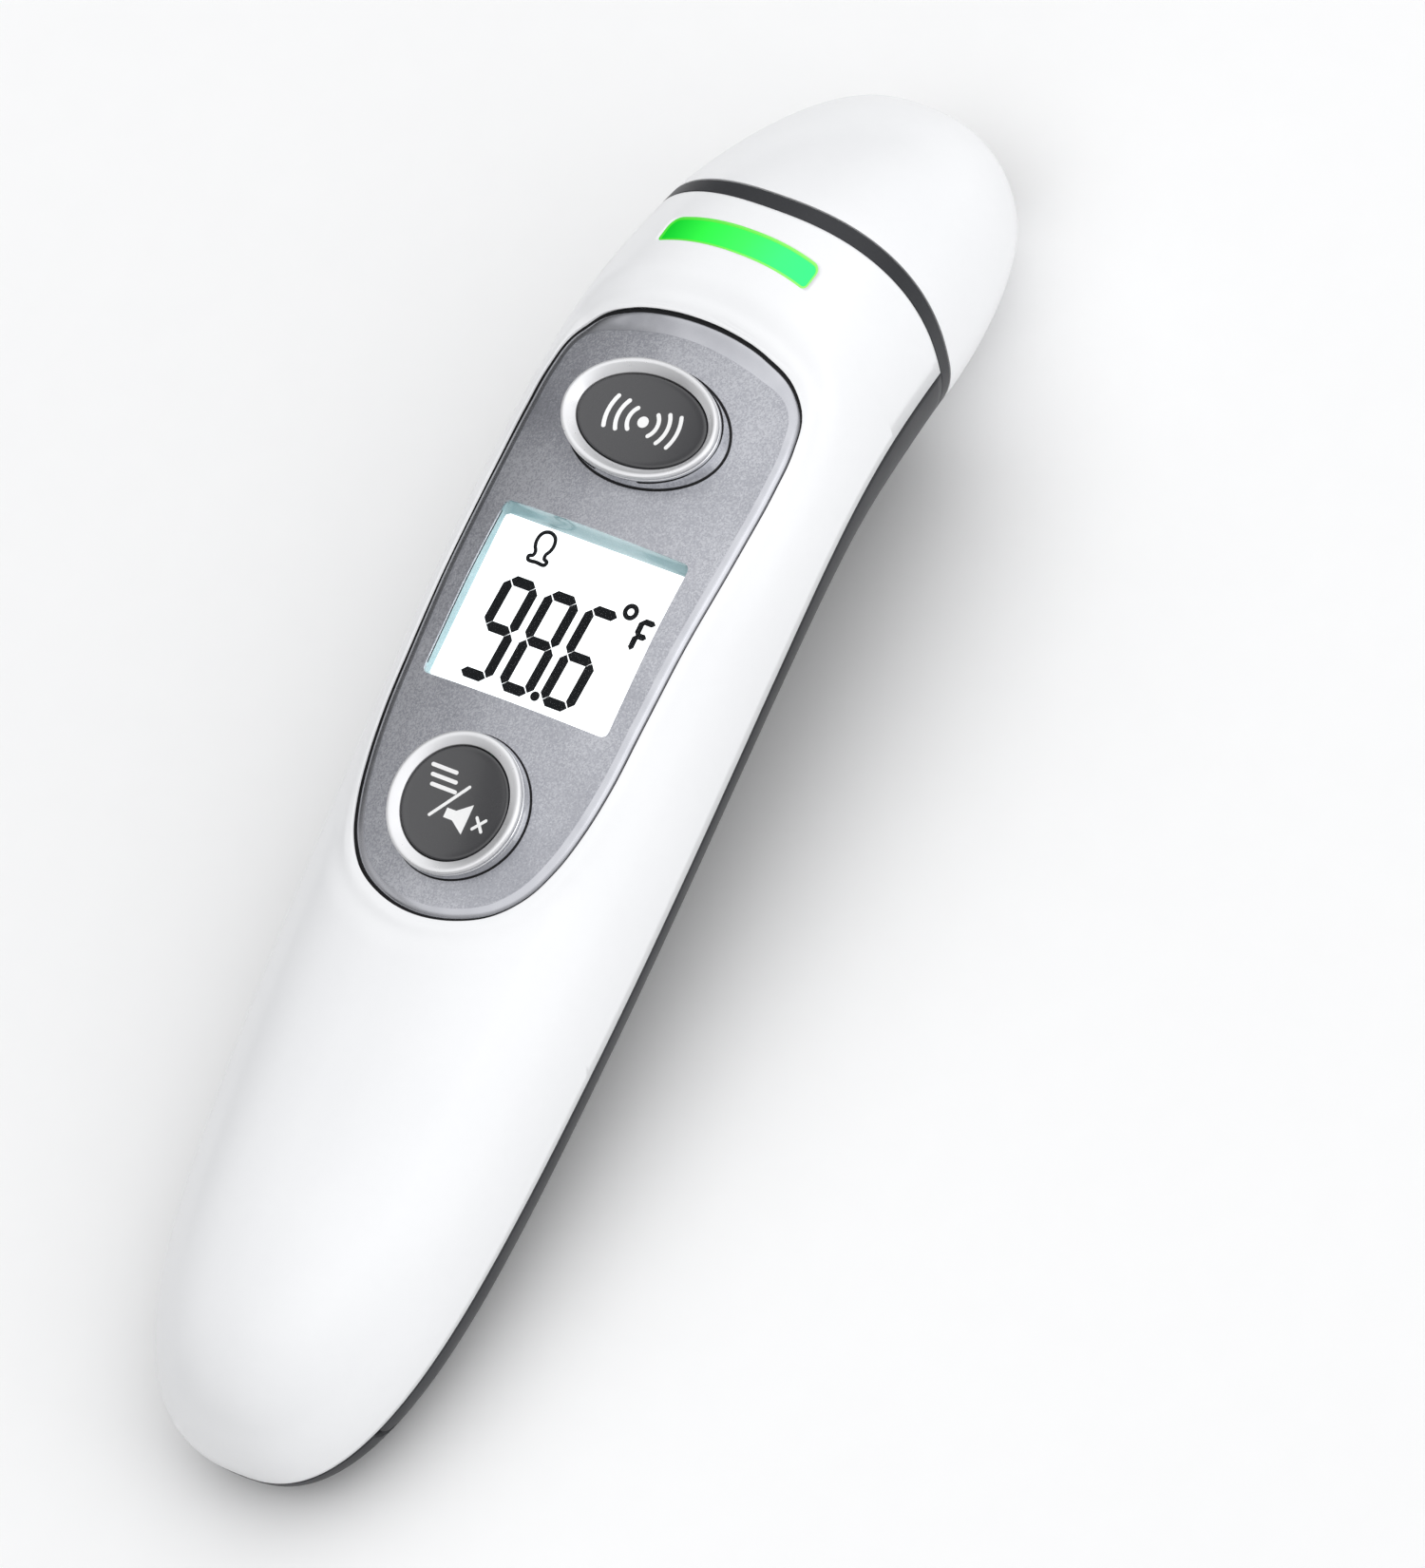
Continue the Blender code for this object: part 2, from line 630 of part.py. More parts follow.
# ---------------------------------------------------------------- boards and display
BOARD_Z, BOARD_THICK = -7.6, 1.2
BOARD_FROM, BOARD_TO = -3.5, 45.5
TOP_Z, UNDER_Z = BOARD_Z + BOARD_THICK / 2 + 0.05, BOARD_Z - BOARD_THICK / 2 - 0.05
board = add("main_board", *block(
    HANDLE, (0.0, (BOARD_FROM + BOARD_TO) / 2, BOARD_Z),
    (26.0, BOARD_TO - BOARD_FROM, BOARD_THICK)), BOARD)
PRESS_GAP = 0.9
for name, stem in (("mode", mode_stem), ("scan", scan_stem)):
    tall = stem.z - PRESS_GAP - TOP_Z
    add(name + "_switch", *block(HANDLE, (0.0, stem.y, TOP_Z + tall / 2), (6.0, 6.0, tall)),
        STEEL)
add("main_chip", *block(HANDLE, (-4.0, 30.0, UNDER_Z - 0.7), (10.0, 10.0, 1.4)), BLACK)
add("memory_chip", *block(HANDLE, (7.0, 32.0, UNDER_Z - 0.6), (5.0, 6.0, 1.2)), BLACK)
add("buzzer", *turned(HANDLE, [(4.5, UNDER_Z - 3.2), (4.5, UNDER_Z)], centre=(-4.0, 15.0)),
    BLACK)
add("capacitor", *turned(HANDLE, [(2.5, UNDER_Z - 5.0), (2.5, UNDER_Z)], centre=(7.0, 18.0),
                         count=16), STEEL)
SCREW_XY = ((-11.0, 5.5), (11.0, 5.5), (-11.0, 37.0), (11.0, 37.0))
SCREW = [(1.8, UNDER_Z - 1.3), (1.8, UNDER_Z), (0.9, UNDER_Z + 0.01), (0.9, TOP_Z + 2.6)]
for number, centre in enumerate(SCREW_XY, 1):
    hole = turned(HANDLE, [(1.2, BOARD_Z - 2.0), (1.2, BOARD_Z + 2.0)], centre=centre, count=12)
    cut(board, cutter("board_hole_%d" % number, *hole))
    add("board_screw_%d" % number, *turned(HANDLE, SCREW, centre=centre, count=12), STEEL)

LCD_MID = place(0.0, (LCD_FROM + LCD_TO) / 2, 0.0).y
GLASS = frame_at((LCD_FROM + LCD_TO) / 2, math.radians(-2.7))
GLASS = (place(0.0, (LCD_FROM + LCD_TO) / 2, 10.25),) + GLASS[1:]
add("lcd_glass", *block(GLASS, (0.0, 0.0, -0.8), (23.6, 21.4, 1.5)), GLOW)
add("lcd_backlight", *block(GLASS, (0.0, 0.0, -2.5), (23.6, 21.4, 1.5)), GLOW)
holder = add("lcd_holder", *block(GLASS, (0.0, 0.0, -2.1), (26.0, 23.6, 2.6)), FRAME)
cut(holder, cutter("holder_hole", *block(GLASS, (0.0, 0.0, 0.0), (24.0, 21.8, 12.0))))
add("lcd_connector", *block(GLASS, (0.0, -8.6, -3.75), (20.0, 1.6, 0.8)), FILM)

# ---------------------------------------------------------------- battery bay
BAY_FROM, BAY_TO, BAY_HALF = -54.4, -4.5, 10.7
BAY_WALL = 0.7
bay_y = (BAY_FROM + BAY_TO) / 2
tray = add("battery_tray", *block(
    HANDLE, (0.0, bay_y, -9.35),
    (2 * (BAY_HALF + BAY_WALL), BAY_TO - BAY_FROM + 2 * BAY_WALL, 6.5)), FRAME)
cut(tray, cutter("bay", *block(
    HANDLE, (0.0, bay_y, -16.9), (2 * BAY_HALF, BAY_TO - BAY_FROM, 20.0))))


def battery(name, x, negative, sense):
    """A cell along Y from its negative end; sense +1 points the nub towards the head."""
    body = [(4.6, 0.0), (5.0, 0.15), (AAA_R, 0.5), (AAA_R, 42.9), (4.9, 43.4), (1.9, 43.5),
            (1.9, AAA_LONG)]
    frame = (Vector((x, negative, AAA_Z)), Vector((sense, 0, 0)), Vector((0, 0, -1)),
             Vector((0, sense, 0)))
    add(name, *turned(frame, body), CELL)


def spring(name, x, start, sense):
    """A tapered coil between a contact plate and the negative end."""
    turns, steps, wire, sides = 3, 10, 0.3, 5
    loops = []
    for k in range(turns * steps + 1):
        f = k / (turns * steps)
        t = 2 * math.pi * turns * f
        r = 3.6 - 1.2 * f
        centre = Vector((x + r * math.cos(t), start + sense * (wire + 3.1 * f),
                         AAA_Z + r * math.sin(t)))
        out = Vector((math.cos(t), 0.0, math.sin(t)))
        along = Vector((0, 1, 0))
        loops.append([centre + wire * (out * math.cos(a) + along * math.sin(a))
                      for a in around(sides)])
    add(name, *solid_loops(loops), STEEL)


battery("battery_1", -AAA_X, -49.9, 1)
battery("battery_2", AAA_X, -9.0, -1)
spring("battery_spring_1", -AAA_X, -53.9, 1)
spring("battery_spring_2", AAA_X, -5.0, -1)
CONTACT_THICK = 0.25
add("contact_link", *block(HANDLE, (0.0, -54.15, AAA_Z + 0.5), (18.0, CONTACT_THICK, 8.0)),
    STEEL)
for name, x in (("contact_positive", -AAA_X), ("contact_negative", AAA_X)):
    add(name, *block(HANDLE, (x, -4.7, AAA_Z + 0.5), (8.0, CONTACT_THICK, 8.0)), STEEL)

# ---------------------------------------------------------------- sensor cable
CABLE_WIDE, CABLE_THICK, CABLE_X = 4.0, 0.25, 5.4
board_back = spot(HEAD, 0.0, -4.0, -6.35)
CABLE = [board_back, place(0.0, 125.0, 5.5), place(0.0, 121.0, 6.5),
         Vector((0.0, 47.5, TOP_Z + 1.2)), Vector((0.0, 44.8, TOP_Z + 0.3))]
loops = []
for k, point in enumerate(CABLE):
    before, after = CABLE[max(k - 1, 0)], CABLE[min(k + 1, len(CABLE) - 1)]
    along = (after - before).normalized()
    up = Vector((1, 0, 0)).cross(along)
    loops.append([point + Vector((CABLE_X + a * CABLE_WIDE / 2, 0, 0)) + up * (b * CABLE_THICK / 2)
                  for a, b in ((-1, -1), (1, -1), (1, 1), (-1, 1))])
add("sensor_cable", *solid_loops(loops), FILM)
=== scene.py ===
"""Ear and forehead thermometer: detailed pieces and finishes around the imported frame."""

import math

import bmesh
import bpy
import numpy as np
from mathutils import Euler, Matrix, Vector
from mathutils.geometry import delaunay_2d_cdt
from mathutils.kdtree import KDTree


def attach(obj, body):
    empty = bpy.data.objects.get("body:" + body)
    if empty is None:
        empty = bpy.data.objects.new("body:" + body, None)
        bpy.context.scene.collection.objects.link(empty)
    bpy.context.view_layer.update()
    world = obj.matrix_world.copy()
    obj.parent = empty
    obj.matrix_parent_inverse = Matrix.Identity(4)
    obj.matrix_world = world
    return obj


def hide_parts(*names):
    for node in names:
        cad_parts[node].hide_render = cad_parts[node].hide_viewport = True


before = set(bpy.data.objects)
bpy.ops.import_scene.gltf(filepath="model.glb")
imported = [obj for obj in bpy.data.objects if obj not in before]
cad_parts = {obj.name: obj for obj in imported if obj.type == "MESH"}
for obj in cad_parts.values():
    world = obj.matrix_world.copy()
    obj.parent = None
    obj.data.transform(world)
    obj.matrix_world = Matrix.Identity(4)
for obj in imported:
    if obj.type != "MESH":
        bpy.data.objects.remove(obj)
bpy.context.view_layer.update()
MM = 0.001

# ---------------------------------------------------------------- driving sizes, mm
# A station is a length along the spine from the tail; heights count from the parting surface.
REST_TILT = math.radians(9.2)
REST_LIFT = 28.0
REST_SHIFT_Y = -11.362
SPINE_START = (-69.7, -11.0)
HANDLE_DROP = math.radians(1.6)
HEAD_BEND = math.radians(31.6)
BEND_FROM, BEND_TO = 97.4, 136.3
RING_AT = 133.6
CAP_LONG = 24.3
SPINE_STEPS = 640
# Outer skin at stations along the spine.
STATIONS = (0.0, 30.0, 60.0, 90.0, 110.0, 124.0, 135.0)
HALF_WIDTHS = (17.4, 17.6, 18.8, 19.2, 19.2, 18.4, 17.5)
FRONT_DEPTHS = (14.1, 14.4, 14.6, 14.3, 12.9, 15.3, 16.2)
REAR_DEPTHS = (9.5, 10.4, 11.1, 11.8, 12.9, 14.2, 13.5)
TAIL_LENGTHS = (47.0, 25.7, 37.8)
TAIL_POWER = 2.68
FRONT_POWERS = ((0.0, 50.0, 100.0, 150.0), (2.3, 2.6, 2.75, 2.4))
REAR_POWERS = ((0.0, 70.0, 140.0), (2.2, 1.85, 1.95))
CAP_POWERS = (1.45, 2.15)
CAP_HOLE_R = 6.5
WALL, CAP_WALL = 1.8, 1.9
SEAM = 0.2
# Right half of the front panel's outline: width, station.
PANEL_HALF = (
    (0.0, 58.7), (4.2, 59.4), (7.4, 61.0), (9.8, 63.7), (11.3, 67.1), (12.4, 71.6),
    (13.0, 76.0), (13.4, 83.4), (13.8, 93.3), (14.2, 103.8), (14.3, 109.7), (14.1, 113.5),
    (13.4, 116.0), (11.8, 117.5), (8.3, 118.6), (4.2, 119.2), (0.0, 119.4),
)
PANEL_SUNK, PANEL_DROP, PANEL_REACH, PANEL_THICK = 0.5, 2.3, 14.8, 1.2
PANEL_DIP, DIP_FROM, DIP_LONG = 1.6, 92.0, 28.0
OPENING_OUT = 1.15
MODE_AT, MODE_R, MODE_UP, MODE_CREST, MODE_WIDE = 69.4, (6.02, 6.02), 1.25, 1.65, 1.63
SCAN_AT, SCAN_R, SCAN_UP, SCAN_CREST, SCAN_WIDE = 110.8, (7.6, 4.92), 1.4, 2.25, 1.62
LCD_HALF, LCD_FROM, LCD_TO, LCD_CORNER = 11.45, 81.1, 100.6, 0.7
LENS_HALF, LENS_TALL, LENS_AT, LENS_ARCH = 9.1, 2.5, 127.8, 0.7
LENS_MID, LENS_CORNERS = -0.5, (0.5, 0.8, 0.95, 0.35)
COVER_HALF, COVER_TO, COVER_GAP = 12.6, 62.0, 0.3


# ---------------------------------------------------------------- the body's surface
def curve(x, knots, values):
    """A smooth line through (knots, values), at an array of x."""
    knots, values = np.asarray(knots, float), np.asarray(values, float)
    step = np.diff(knots)
    rise = np.diff(values) / step
    inner = (rise[:-1] * step[1:] + rise[1:] * step[:-1]) / (step[:-1] + step[1:])
    slope = np.concatenate((rise[:1], inner, rise[-1:]))
    i = np.clip(np.searchsorted(knots, x, side="right") - 1, 0, len(knots) - 2)
    t = (x - knots[i]) / step[i]
    t2, t3 = t * t, t * t * t
    return (
        (2 * t3 - 3 * t2 + 1) * values[i] + (t3 - 2 * t2 + t) * step[i] * slope[i]
        + (3 * t2 - 2 * t3) * values[i + 1] + (t3 - t2) * step[i] * slope[i + 1]
    )


def bend(s):
    """Slope of the spine at a station, before the part is laid down."""
    s = np.minimum(s, RING_AT)
    t = np.clip((s - BEND_FROM) / (BEND_TO - BEND_FROM), 0.0, 1.0)
    return -HEAD_BEND * t * t * (3 - 2 * t) - HANDLE_DROP * (1 - s / RING_AT)


def spine_table():
    """Stations along the spine and their places, which bend turns into a curve."""
    stations = np.linspace(0.0, RING_AT + CAP_LONG + 1.0, SPINE_STEPS)
    middle = (bend(stations)[1:] + bend(stations)[:-1]) / 2
    ys = SPINE_START[0] + np.concatenate(([0.0], np.cumsum(np.cos(middle) * np.diff(stations))))
    zs = SPINE_START[1] + np.concatenate(([0.0], np.cumsum(np.sin(middle) * np.diff(stations))))
    return stations, ys, zs


SPINE = spine_table()


def place(x, s, h):
    """Points of the CAD frame, in metres, at width x, station s and height h above the parting surface."""
    x, s, h = np.broadcast_arrays(*(np.asarray(v, float) for v in (x, s, h)))
    over = s - np.clip(s, 0.0, SPINE[0][-1])
    angle = bend(np.maximum(s, 0.0))
    y = np.interp(s, SPINE[0], SPINE[1]) + over * np.cos(angle) - np.sin(angle) * h
    z = np.interp(s, SPINE[0], SPINE[2]) + over * np.sin(angle) + np.cos(angle) * h
    c, d = math.cos(REST_TILT), math.sin(REST_TILT)
    return np.stack((x, c * y - d * z + REST_SHIFT_Y, d * y + c * z + REST_LIFT), -1) * MM


def depths(s):
    """Half-width, front depth and rear depth of the outer skin."""
    body = np.minimum(s, RING_AT)
    t = np.clip((s - RING_AT) / CAP_LONG, 0.0, 1.0)
    keep = np.maximum(1 - t ** CAP_POWERS[0], 0.0) ** (1 / CAP_POWERS[1])
    found = []
    for values, tail in zip((HALF_WIDTHS, FRONT_DEPTHS, REAR_DEPTHS), TAIL_LENGTHS):
        u = np.clip(1 - body / tail, 0.0, 1.0)
        size = curve(body, STATIONS, values) * (1 - u**TAIL_POWER) ** (1 / TAIL_POWER)
        found.append(size * keep + CAP_HOLE_R * (1 - keep))
    return found


def signed_power(v, power):
    return np.sign(v) * np.abs(v) ** power


def section(s, phi, inset=0.0, floor=0.05):
    """(x, h) on the skin, phi counted from +x through the front."""
    half, front, rear = (np.maximum(v - inset, floor) for v in depths(s))
    c, d = np.cos(phi), np.sin(phi)
    n = np.where(d >= 0, curve(s, *FRONT_POWERS), curve(s, *REAR_POWERS))
    deep = np.where(d >= 0, front, rear)
    return half * signed_power(c, 2 / n), deep * signed_power(d, 2 / n)


def front_height(x, s):
    half, front, _ = depths(s)
    n = curve(s, *FRONT_POWERS)
    return front * np.maximum(1 - (np.abs(x) / half) ** n, 0.0) ** (1 / n)


def front_angle(x, s):
    """The phi of a point of the front skin at width x."""
    return np.arccos(signed_power(x / depths(s)[0], curve(s, *FRONT_POWERS) / 2))


def panel_height(x, s):
    """Height of the front panel's surface, which dips towards the head."""
    dip = PANEL_DIP * (np.maximum(s - DIP_FROM, 0.0) / DIP_LONG) ** 2
    return depths(s)[1] - PANEL_SUNK - PANEL_DROP * (x / PANEL_REACH) ** 2 - dip


# ---------------------------------------------------------------- outlines
CORNER_STEPS = 6
CLEAR_OF_EDGE = 0.55     # least distance of a fill point from an edge, in spacings


def closed_curve(points, count):
    """Equal steps along a smooth closed curve through the points."""
    points = np.array(points, float)
    wrap = np.concatenate((points[-3:], points, points[:4]))
    reach = np.concatenate(([0.0], np.cumsum(np.linalg.norm(np.diff(wrap, axis=0), axis=1))))
    t = np.linspace(reach[3], reach[3 + len(points)], count, endpoint=False)
    return np.stack([curve(t, reach, wrap[:, k]) for k in (0, 1)], -1)


def mirrored(half):
    """Full outline from its half, counter-clockwise seen from the front."""
    return list(half) + [(-x, s) for x, s in reversed(half[1:-1])]


def grown(outline, by):
    """The closed outline moved outwards."""
    along = np.roll(outline, -1, 0) - np.roll(outline, 1, 0)
    along /= np.linalg.norm(along, axis=1)[:, None]
    return outline + np.reshape(by, (-1, 1)) * np.stack((along[:, 1], -along[:, 0]), -1)


def even(points, count):
    """Equal steps along a closed polygon."""
    points = np.array(points, float)
    loop = np.concatenate((points, points[:1]))
    reach = np.concatenate(([0.0], np.cumsum(np.linalg.norm(np.diff(loop, axis=0), axis=1))))
    t = np.linspace(0.0, reach[-1], count, endpoint=False)
    return np.stack([np.interp(t, reach, loop[:, k]) for k in (0, 1)], -1)


def rounded_box(x0, x1, y0, y1, r):
    """A box with rounded corners; r is one radius, or lower right, upper right, upper left, lower left."""
    radii = r if hasattr(r, "__len__") else (r,) * 4
    found = []
    for (x, y, a, b, start), q in zip(
            ((x1, y0, -1, 1, -90), (x1, y1, -1, -1, 0), (x0, y1, 1, -1, 90), (x0, y0, 1, 1, 180)),
            radii):
        for k in range(CORNER_STEPS + 1):
            t = math.radians(start + 90 * k / CORNER_STEPS)
            found.append((x + a * q + q * math.cos(t), y + b * q + q * math.sin(t)))
    return np.array(found)


def around(count):
    return 2 * math.pi * np.arange(count) / count


def ellipse(rx, ry, count, centre=(0.0, 0.0)):
    t = around(count)
    return np.stack((centre[0] + rx * np.cos(t), centre[1] + ry * np.sin(t)), -1)


def inside(points, outline):
    """Which points lie inside a closed outline."""
    x, y = points[:, 0][:, None], points[:, 1][:, None]
    a, b = outline, np.roll(outline, -1, 0)
    crosses = (a[:, 1] > y) != (b[:, 1] > y)
    rise = np.where(np.abs(b[:, 1] - a[:, 1]) < 1e-12, 1e-12, b[:, 1] - a[:, 1])
    at = a[:, 0] + (y - a[:, 1]) / rise * (b[:, 0] - a[:, 0])
    return (crosses & (x < at)).sum(1) % 2 == 1


def within(points, loops):
    """Which points lie inside the first outline and outside the others."""
    keep = inside(points, loops[0])
    for hole in loops[1:]:
        keep &= ~inside(points, hole)
    return keep


def triangulated(outline, holes, spacing):
    """Points and triangles over an outline with holes."""
    loops = [np.asarray(outline, float)] + [np.asarray(h, float) for h in holes]
    low, high = loops[0].min(0), loops[0].max(0)
    xs = np.arange(low[0], high[0], spacing)
    ys = np.arange(low[1], high[1], spacing * math.sqrt(0.75))
    fill = np.array([(x + (k % 2) * spacing / 2, y) for k, y in enumerate(ys) for x in xs])
    edge = np.concatenate(loops)
    tree = KDTree(len(edge))
    for k, p in enumerate(edge):
        tree.insert((p[0], p[1], 0.0), k)
    tree.balance()
    near = np.array([tree.find((p[0], p[1], 0.0))[2] for p in fill])
    points = np.concatenate((edge, fill[(near > CLEAR_OF_EDGE * spacing) & within(fill, loops)]))
    edges, start = [], 0
    for loop in loops:
        edges += [(start + k, start + (k + 1) % len(loop)) for k in range(len(loop))]
        start += len(loop)
    found = delaunay_2d_cdt([Vector(p) for p in points], edges, [], 0, 1e-7)
    points, faces = np.array([tuple(p) for p in found[0]]), np.array(found[2])
    return points, faces[within(points[faces].mean(1), loops)]


# ---------------------------------------------------------------- meshes
SPINE_LINE = place(0.0, SPINE[0], 0.0)


def outwards(face):
    """Positive where an open skin's face looks away from the spine."""
    middle = face.calc_center_median()
    height = float(np.interp(middle.y, SPINE_LINE[:, 1], SPINE_LINE[:, 2]))
    return face.calc_area() * face.normal.dot(middle - Vector((0.0, middle.y, height)))


def make(name, points, faces, look, body, slot, replaced=(), wall=0.0, crease=35.0):
    """A smooth piece that rides on a body and stands for the CAD nodes it replaces."""
    mesh = bpy.data.meshes.new(name)
    mesh.from_pydata([tuple(p) for p in points], [], [tuple(int(i) for i in f) for f in faces])
    build = bmesh.new()
    build.from_mesh(mesh)
    bmesh.ops.remove_doubles(build, verts=build.verts, dist=1e-7)
    bmesh.ops.recalc_face_normals(build, faces=build.faces)
    if wall and sum(outwards(f) for f in build.faces) < 0:
        bmesh.ops.reverse_faces(build, faces=build.faces)
    build.to_mesh(mesh)
    build.free()
    mesh.materials.append(look)
    mesh.shade_smooth()
    mesh.set_sharp_from_angle(angle=math.radians(crease))
    piece = bpy.data.objects.new(name, mesh)
    bpy.context.scene.collection.objects.link(piece)
    if wall:
        thick = piece.modifiers.new("wall", "SOLIDIFY")
        thick.thickness = wall * MM
        thick.offset = -1.0
    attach(piece, body)
    if replaced:
        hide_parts(*replaced)
    return piece


def grid_faces(rows, cols, around_too=False):
    """Quads of a grid of points; around_too joins its last column to its first."""
    last = cols if around_too else cols - 1
    return [
        (r * cols + j, r * cols + (j + 1) % cols, (r + 1) * cols + (j + 1) % cols,
         (r + 1) * cols + j)
        for r in range(rows - 1) for j in range(last)
    ]


def loft(loops, ring=False):
    """A body through closed loops of points; ring joins the last loop to the first."""
    loops = np.asarray(loops)
    rows, cols = loops.shape[:2]
    points = loops.reshape(-1, 3)
    faces = grid_faces(rows, cols, True)
    last = (rows - 1) * cols
    if ring:
        faces += [(last + j, last + (j + 1) % cols, (j + 1) % cols, j) for j in range(cols)]
    else:
        points = np.concatenate((points, [loops[0].mean(0), loops[-1].mean(0)]))
        low, high = len(points) - 2, len(points) - 1
        faces += [(low, (j + 1) % cols, j) for j in range(cols)]
        faces += [(high, last + j, last + (j + 1) % cols) for j in range(cols)]
    return points, faces


def slab(outline, holes, upper, lower, spacing):
    """A closed plate over an outline with holes, between two surfaces given as (x, y) to point."""
    flat, faces = triangulated(outline, holes, spacing)
    count = len(flat)
    points = np.concatenate((upper(flat[:, 0], flat[:, 1]), lower(flat[:, 0], flat[:, 1])))
    found = [tuple(f) for f in faces] + [tuple(f[::-1] + count) for f in faces]
    sides = {(f[k], f[(k + 1) % 3]) for f in faces.tolist() for k in range(3)}
    found += [(b, a, a + count, b + count) for a, b in sorted(sides) if (b, a) not in sides]
    return points, found


def join(*parts):
    """Several (points, faces) as one."""
    points, faces, start = [], [], 0
    for p, f in parts:
        points.append(np.asarray(p))
        faces += [tuple(int(i) + start for i in face) for face in f]
        start += len(p)
    return np.concatenate(points), faces


class Plane:
    """A local frame: origin and across, along, up axes in the CAD frame; sizes in mm."""

    def __init__(self, origin, along):
        self.origin = np.asarray(origin, float)
        self.across = np.array((1.0, 0.0, 0.0))
        self.along = np.asarray(along, float) / np.linalg.norm(along)
        self.up = np.cross(self.across, self.along)

    def at(self, x, y, z):
        x, y, z = np.broadcast_arrays(*(np.asarray(v, float) for v in (x, y, z)))
        return self.origin + MM * (
            x[..., None] * self.across + y[..., None] * self.along + z[..., None] * self.up)


def panel_plane(s, x=0.0, sunk=0.0):
    """The plane that touches the front panel's middle line at a station."""
    h = panel_height(x, s) - sunk
    before, after = (place(0.0, s + d, panel_height(x, s + d) - sunk) for d in (-1.0, 1.0))
    return Plane(place(0.0, s, h), after - before)


def oval_loops(plane, profile, half, count=120):
    """Loops of an oval ring in a plane from (outward, up) pairs."""
    t = around(count)
    return [plane.at((half[0] + o) * np.cos(t), (half[1] + o) * np.sin(t), z)
            for o, z in profile]


def arc(cx, cy, r, start, end, steps):
    """Profile points on an arc, degrees."""
    return [(cx + r * math.cos(math.radians(start + (end - start) * k / steps)),
             cy + r * math.sin(math.radians(start + (end - start) * k / steps)))
            for k in range(steps + 1)]


# ---------------------------------------------------------------- finishes
NOISE_LOW, NOISE_HIGH = 0.15, 0.85
STREAK = 300.0
LIGHT_SPAN = (-9.6, 8.8)


class Finish:
    """A procedural material, built around one shader."""

    def __init__(self, name, **sockets):
        self.material = bpy.data.materials.new(name)
        self.material.use_nodes = True
        self.tree = self.material.node_tree
        self.shader = self.tree.nodes["Principled BSDF"]
        for socket, value in sockets.items():
            self.shader.inputs[socket.replace("_", " ")].default_value = value
        self.where = self.node("ShaderNodeTexCoord").outputs["Object"]

    def node(self, kind, inputs=None, **settings):
        made = self.tree.nodes.new(kind)
        for key, value in settings.items():
            setattr(made, key, value)
        for key, value in (inputs or {}).items():
            if isinstance(value, bpy.types.NodeSocket):
                self.tree.links.new(value, made.inputs[key])
            else:
                made.inputs[key].default_value = value
        return made

    def to(self, socket, output):
        self.tree.links.new(output, self.shader.inputs[socket])
        return self

    def noise(self, scale, detail=3.0):
        return self.node("ShaderNodeTexNoise", {
            "Vector": self.where, "Scale": scale, "Detail": detail}).outputs["Fac"]

    def cells(self, scale):
        return self.node("ShaderNodeTexVoronoi",
                         {"Vector": self.where, "Scale": scale}).outputs["Color"]

    def ramp(self, value, stops):
        made = self.node("ShaderNodeValToRGB", {"Fac": value})
        line = made.color_ramp.elements
        while len(line) < len(stops):
            line.new(1.0)
        for element, (at, colour) in zip(line, stops):
            element.position = at
            element.color = (*colour, 1.0)
        return made.outputs["Color"]

    def spread(self, value, low, high):
        """A noise spread evenly between two values."""
        return self.node("ShaderNodeMapRange", {
            "Value": value, "From Min": NOISE_LOW, "From Max": NOISE_HIGH, "To Min": low,
            "To Max": high}).outputs["Result"]

    def sum(self, a, b, weight):
        """a + weight * b"""
        return self.node("ShaderNodeMath", {0: b, 1: weight, 2: a},
                         operation="MULTIPLY_ADD").outputs["Value"]

    def along(self, axis, start, end):
        """0 to 1 between two places along an axis, in mm."""
        part = self.node("ShaderNodeSeparateXYZ", {"Vector": self.where}).outputs[axis]
        return self.node("ShaderNodeMapRange", {
            "Value": part, "From Min": start * MM, "From Max": end * MM}).outputs["Result"]

    def bump(self, height, strength, distance=0.02):
        made = self.node("ShaderNodeBump", {
            "Height": height, "Strength": strength, "Distance": distance * MM})
        return self.to("Normal", made.outputs["Normal"])


def moulded(name, dark, light, rough, grain=1400.0, grain_depth=0.12, blotch=45.0, **sockets):
    """Moulded plastic or a similar even finish: faint blotches, fine grain, uneven gloss."""
    made = Finish(name, **sockets)
    tone = made.sum(made.noise(blotch), made.noise(grain, 2.0), 0.25)
    made.to("Base Color", made.ramp(tone, ((0.4, dark), (0.85, light))))
    made.to("Roughness", made.spread(made.noise(blotch * 3, 4.0), *rough))
    made.bump(made.noise(grain, 2.0), grain_depth)
    return made.material


def flaked_silver():
    """Silver paint with fine flakes under a clear coat."""
    made = Finish("silver_flake", Metallic=0.72, Coat_Weight=1.0, Coat_Roughness=0.03)
    flakes = made.cells(7200.0)
    tone = made.sum(made.noise(60.0), flakes, 0.55)
    made.to("Base Color", made.ramp(tone, (
        (0.3, (0.21, 0.216, 0.242)), (0.75, (0.32, 0.326, 0.36)), (1.0, (0.46, 0.466, 0.50)))))
    made.to("Roughness", made.spread(flakes, 0.34, 0.5))
    return made.bump(flakes, 0.12, 0.03).material


def metal(name, dark, light, rough, **sockets):
    """A metal, faintly streaked in tone and gloss."""
    made = Finish(name, **{"Metallic": 1.0, **sockets})
    made.to("Base Color", made.ramp(made.noise(STREAK, 5.0), ((0.3, dark), (0.7, light))))
    made.to("Roughness", made.spread(made.noise(STREAK * 4), *rough))
    return made.bump(made.noise(STREAK * 3, 2.0), 0.015).material


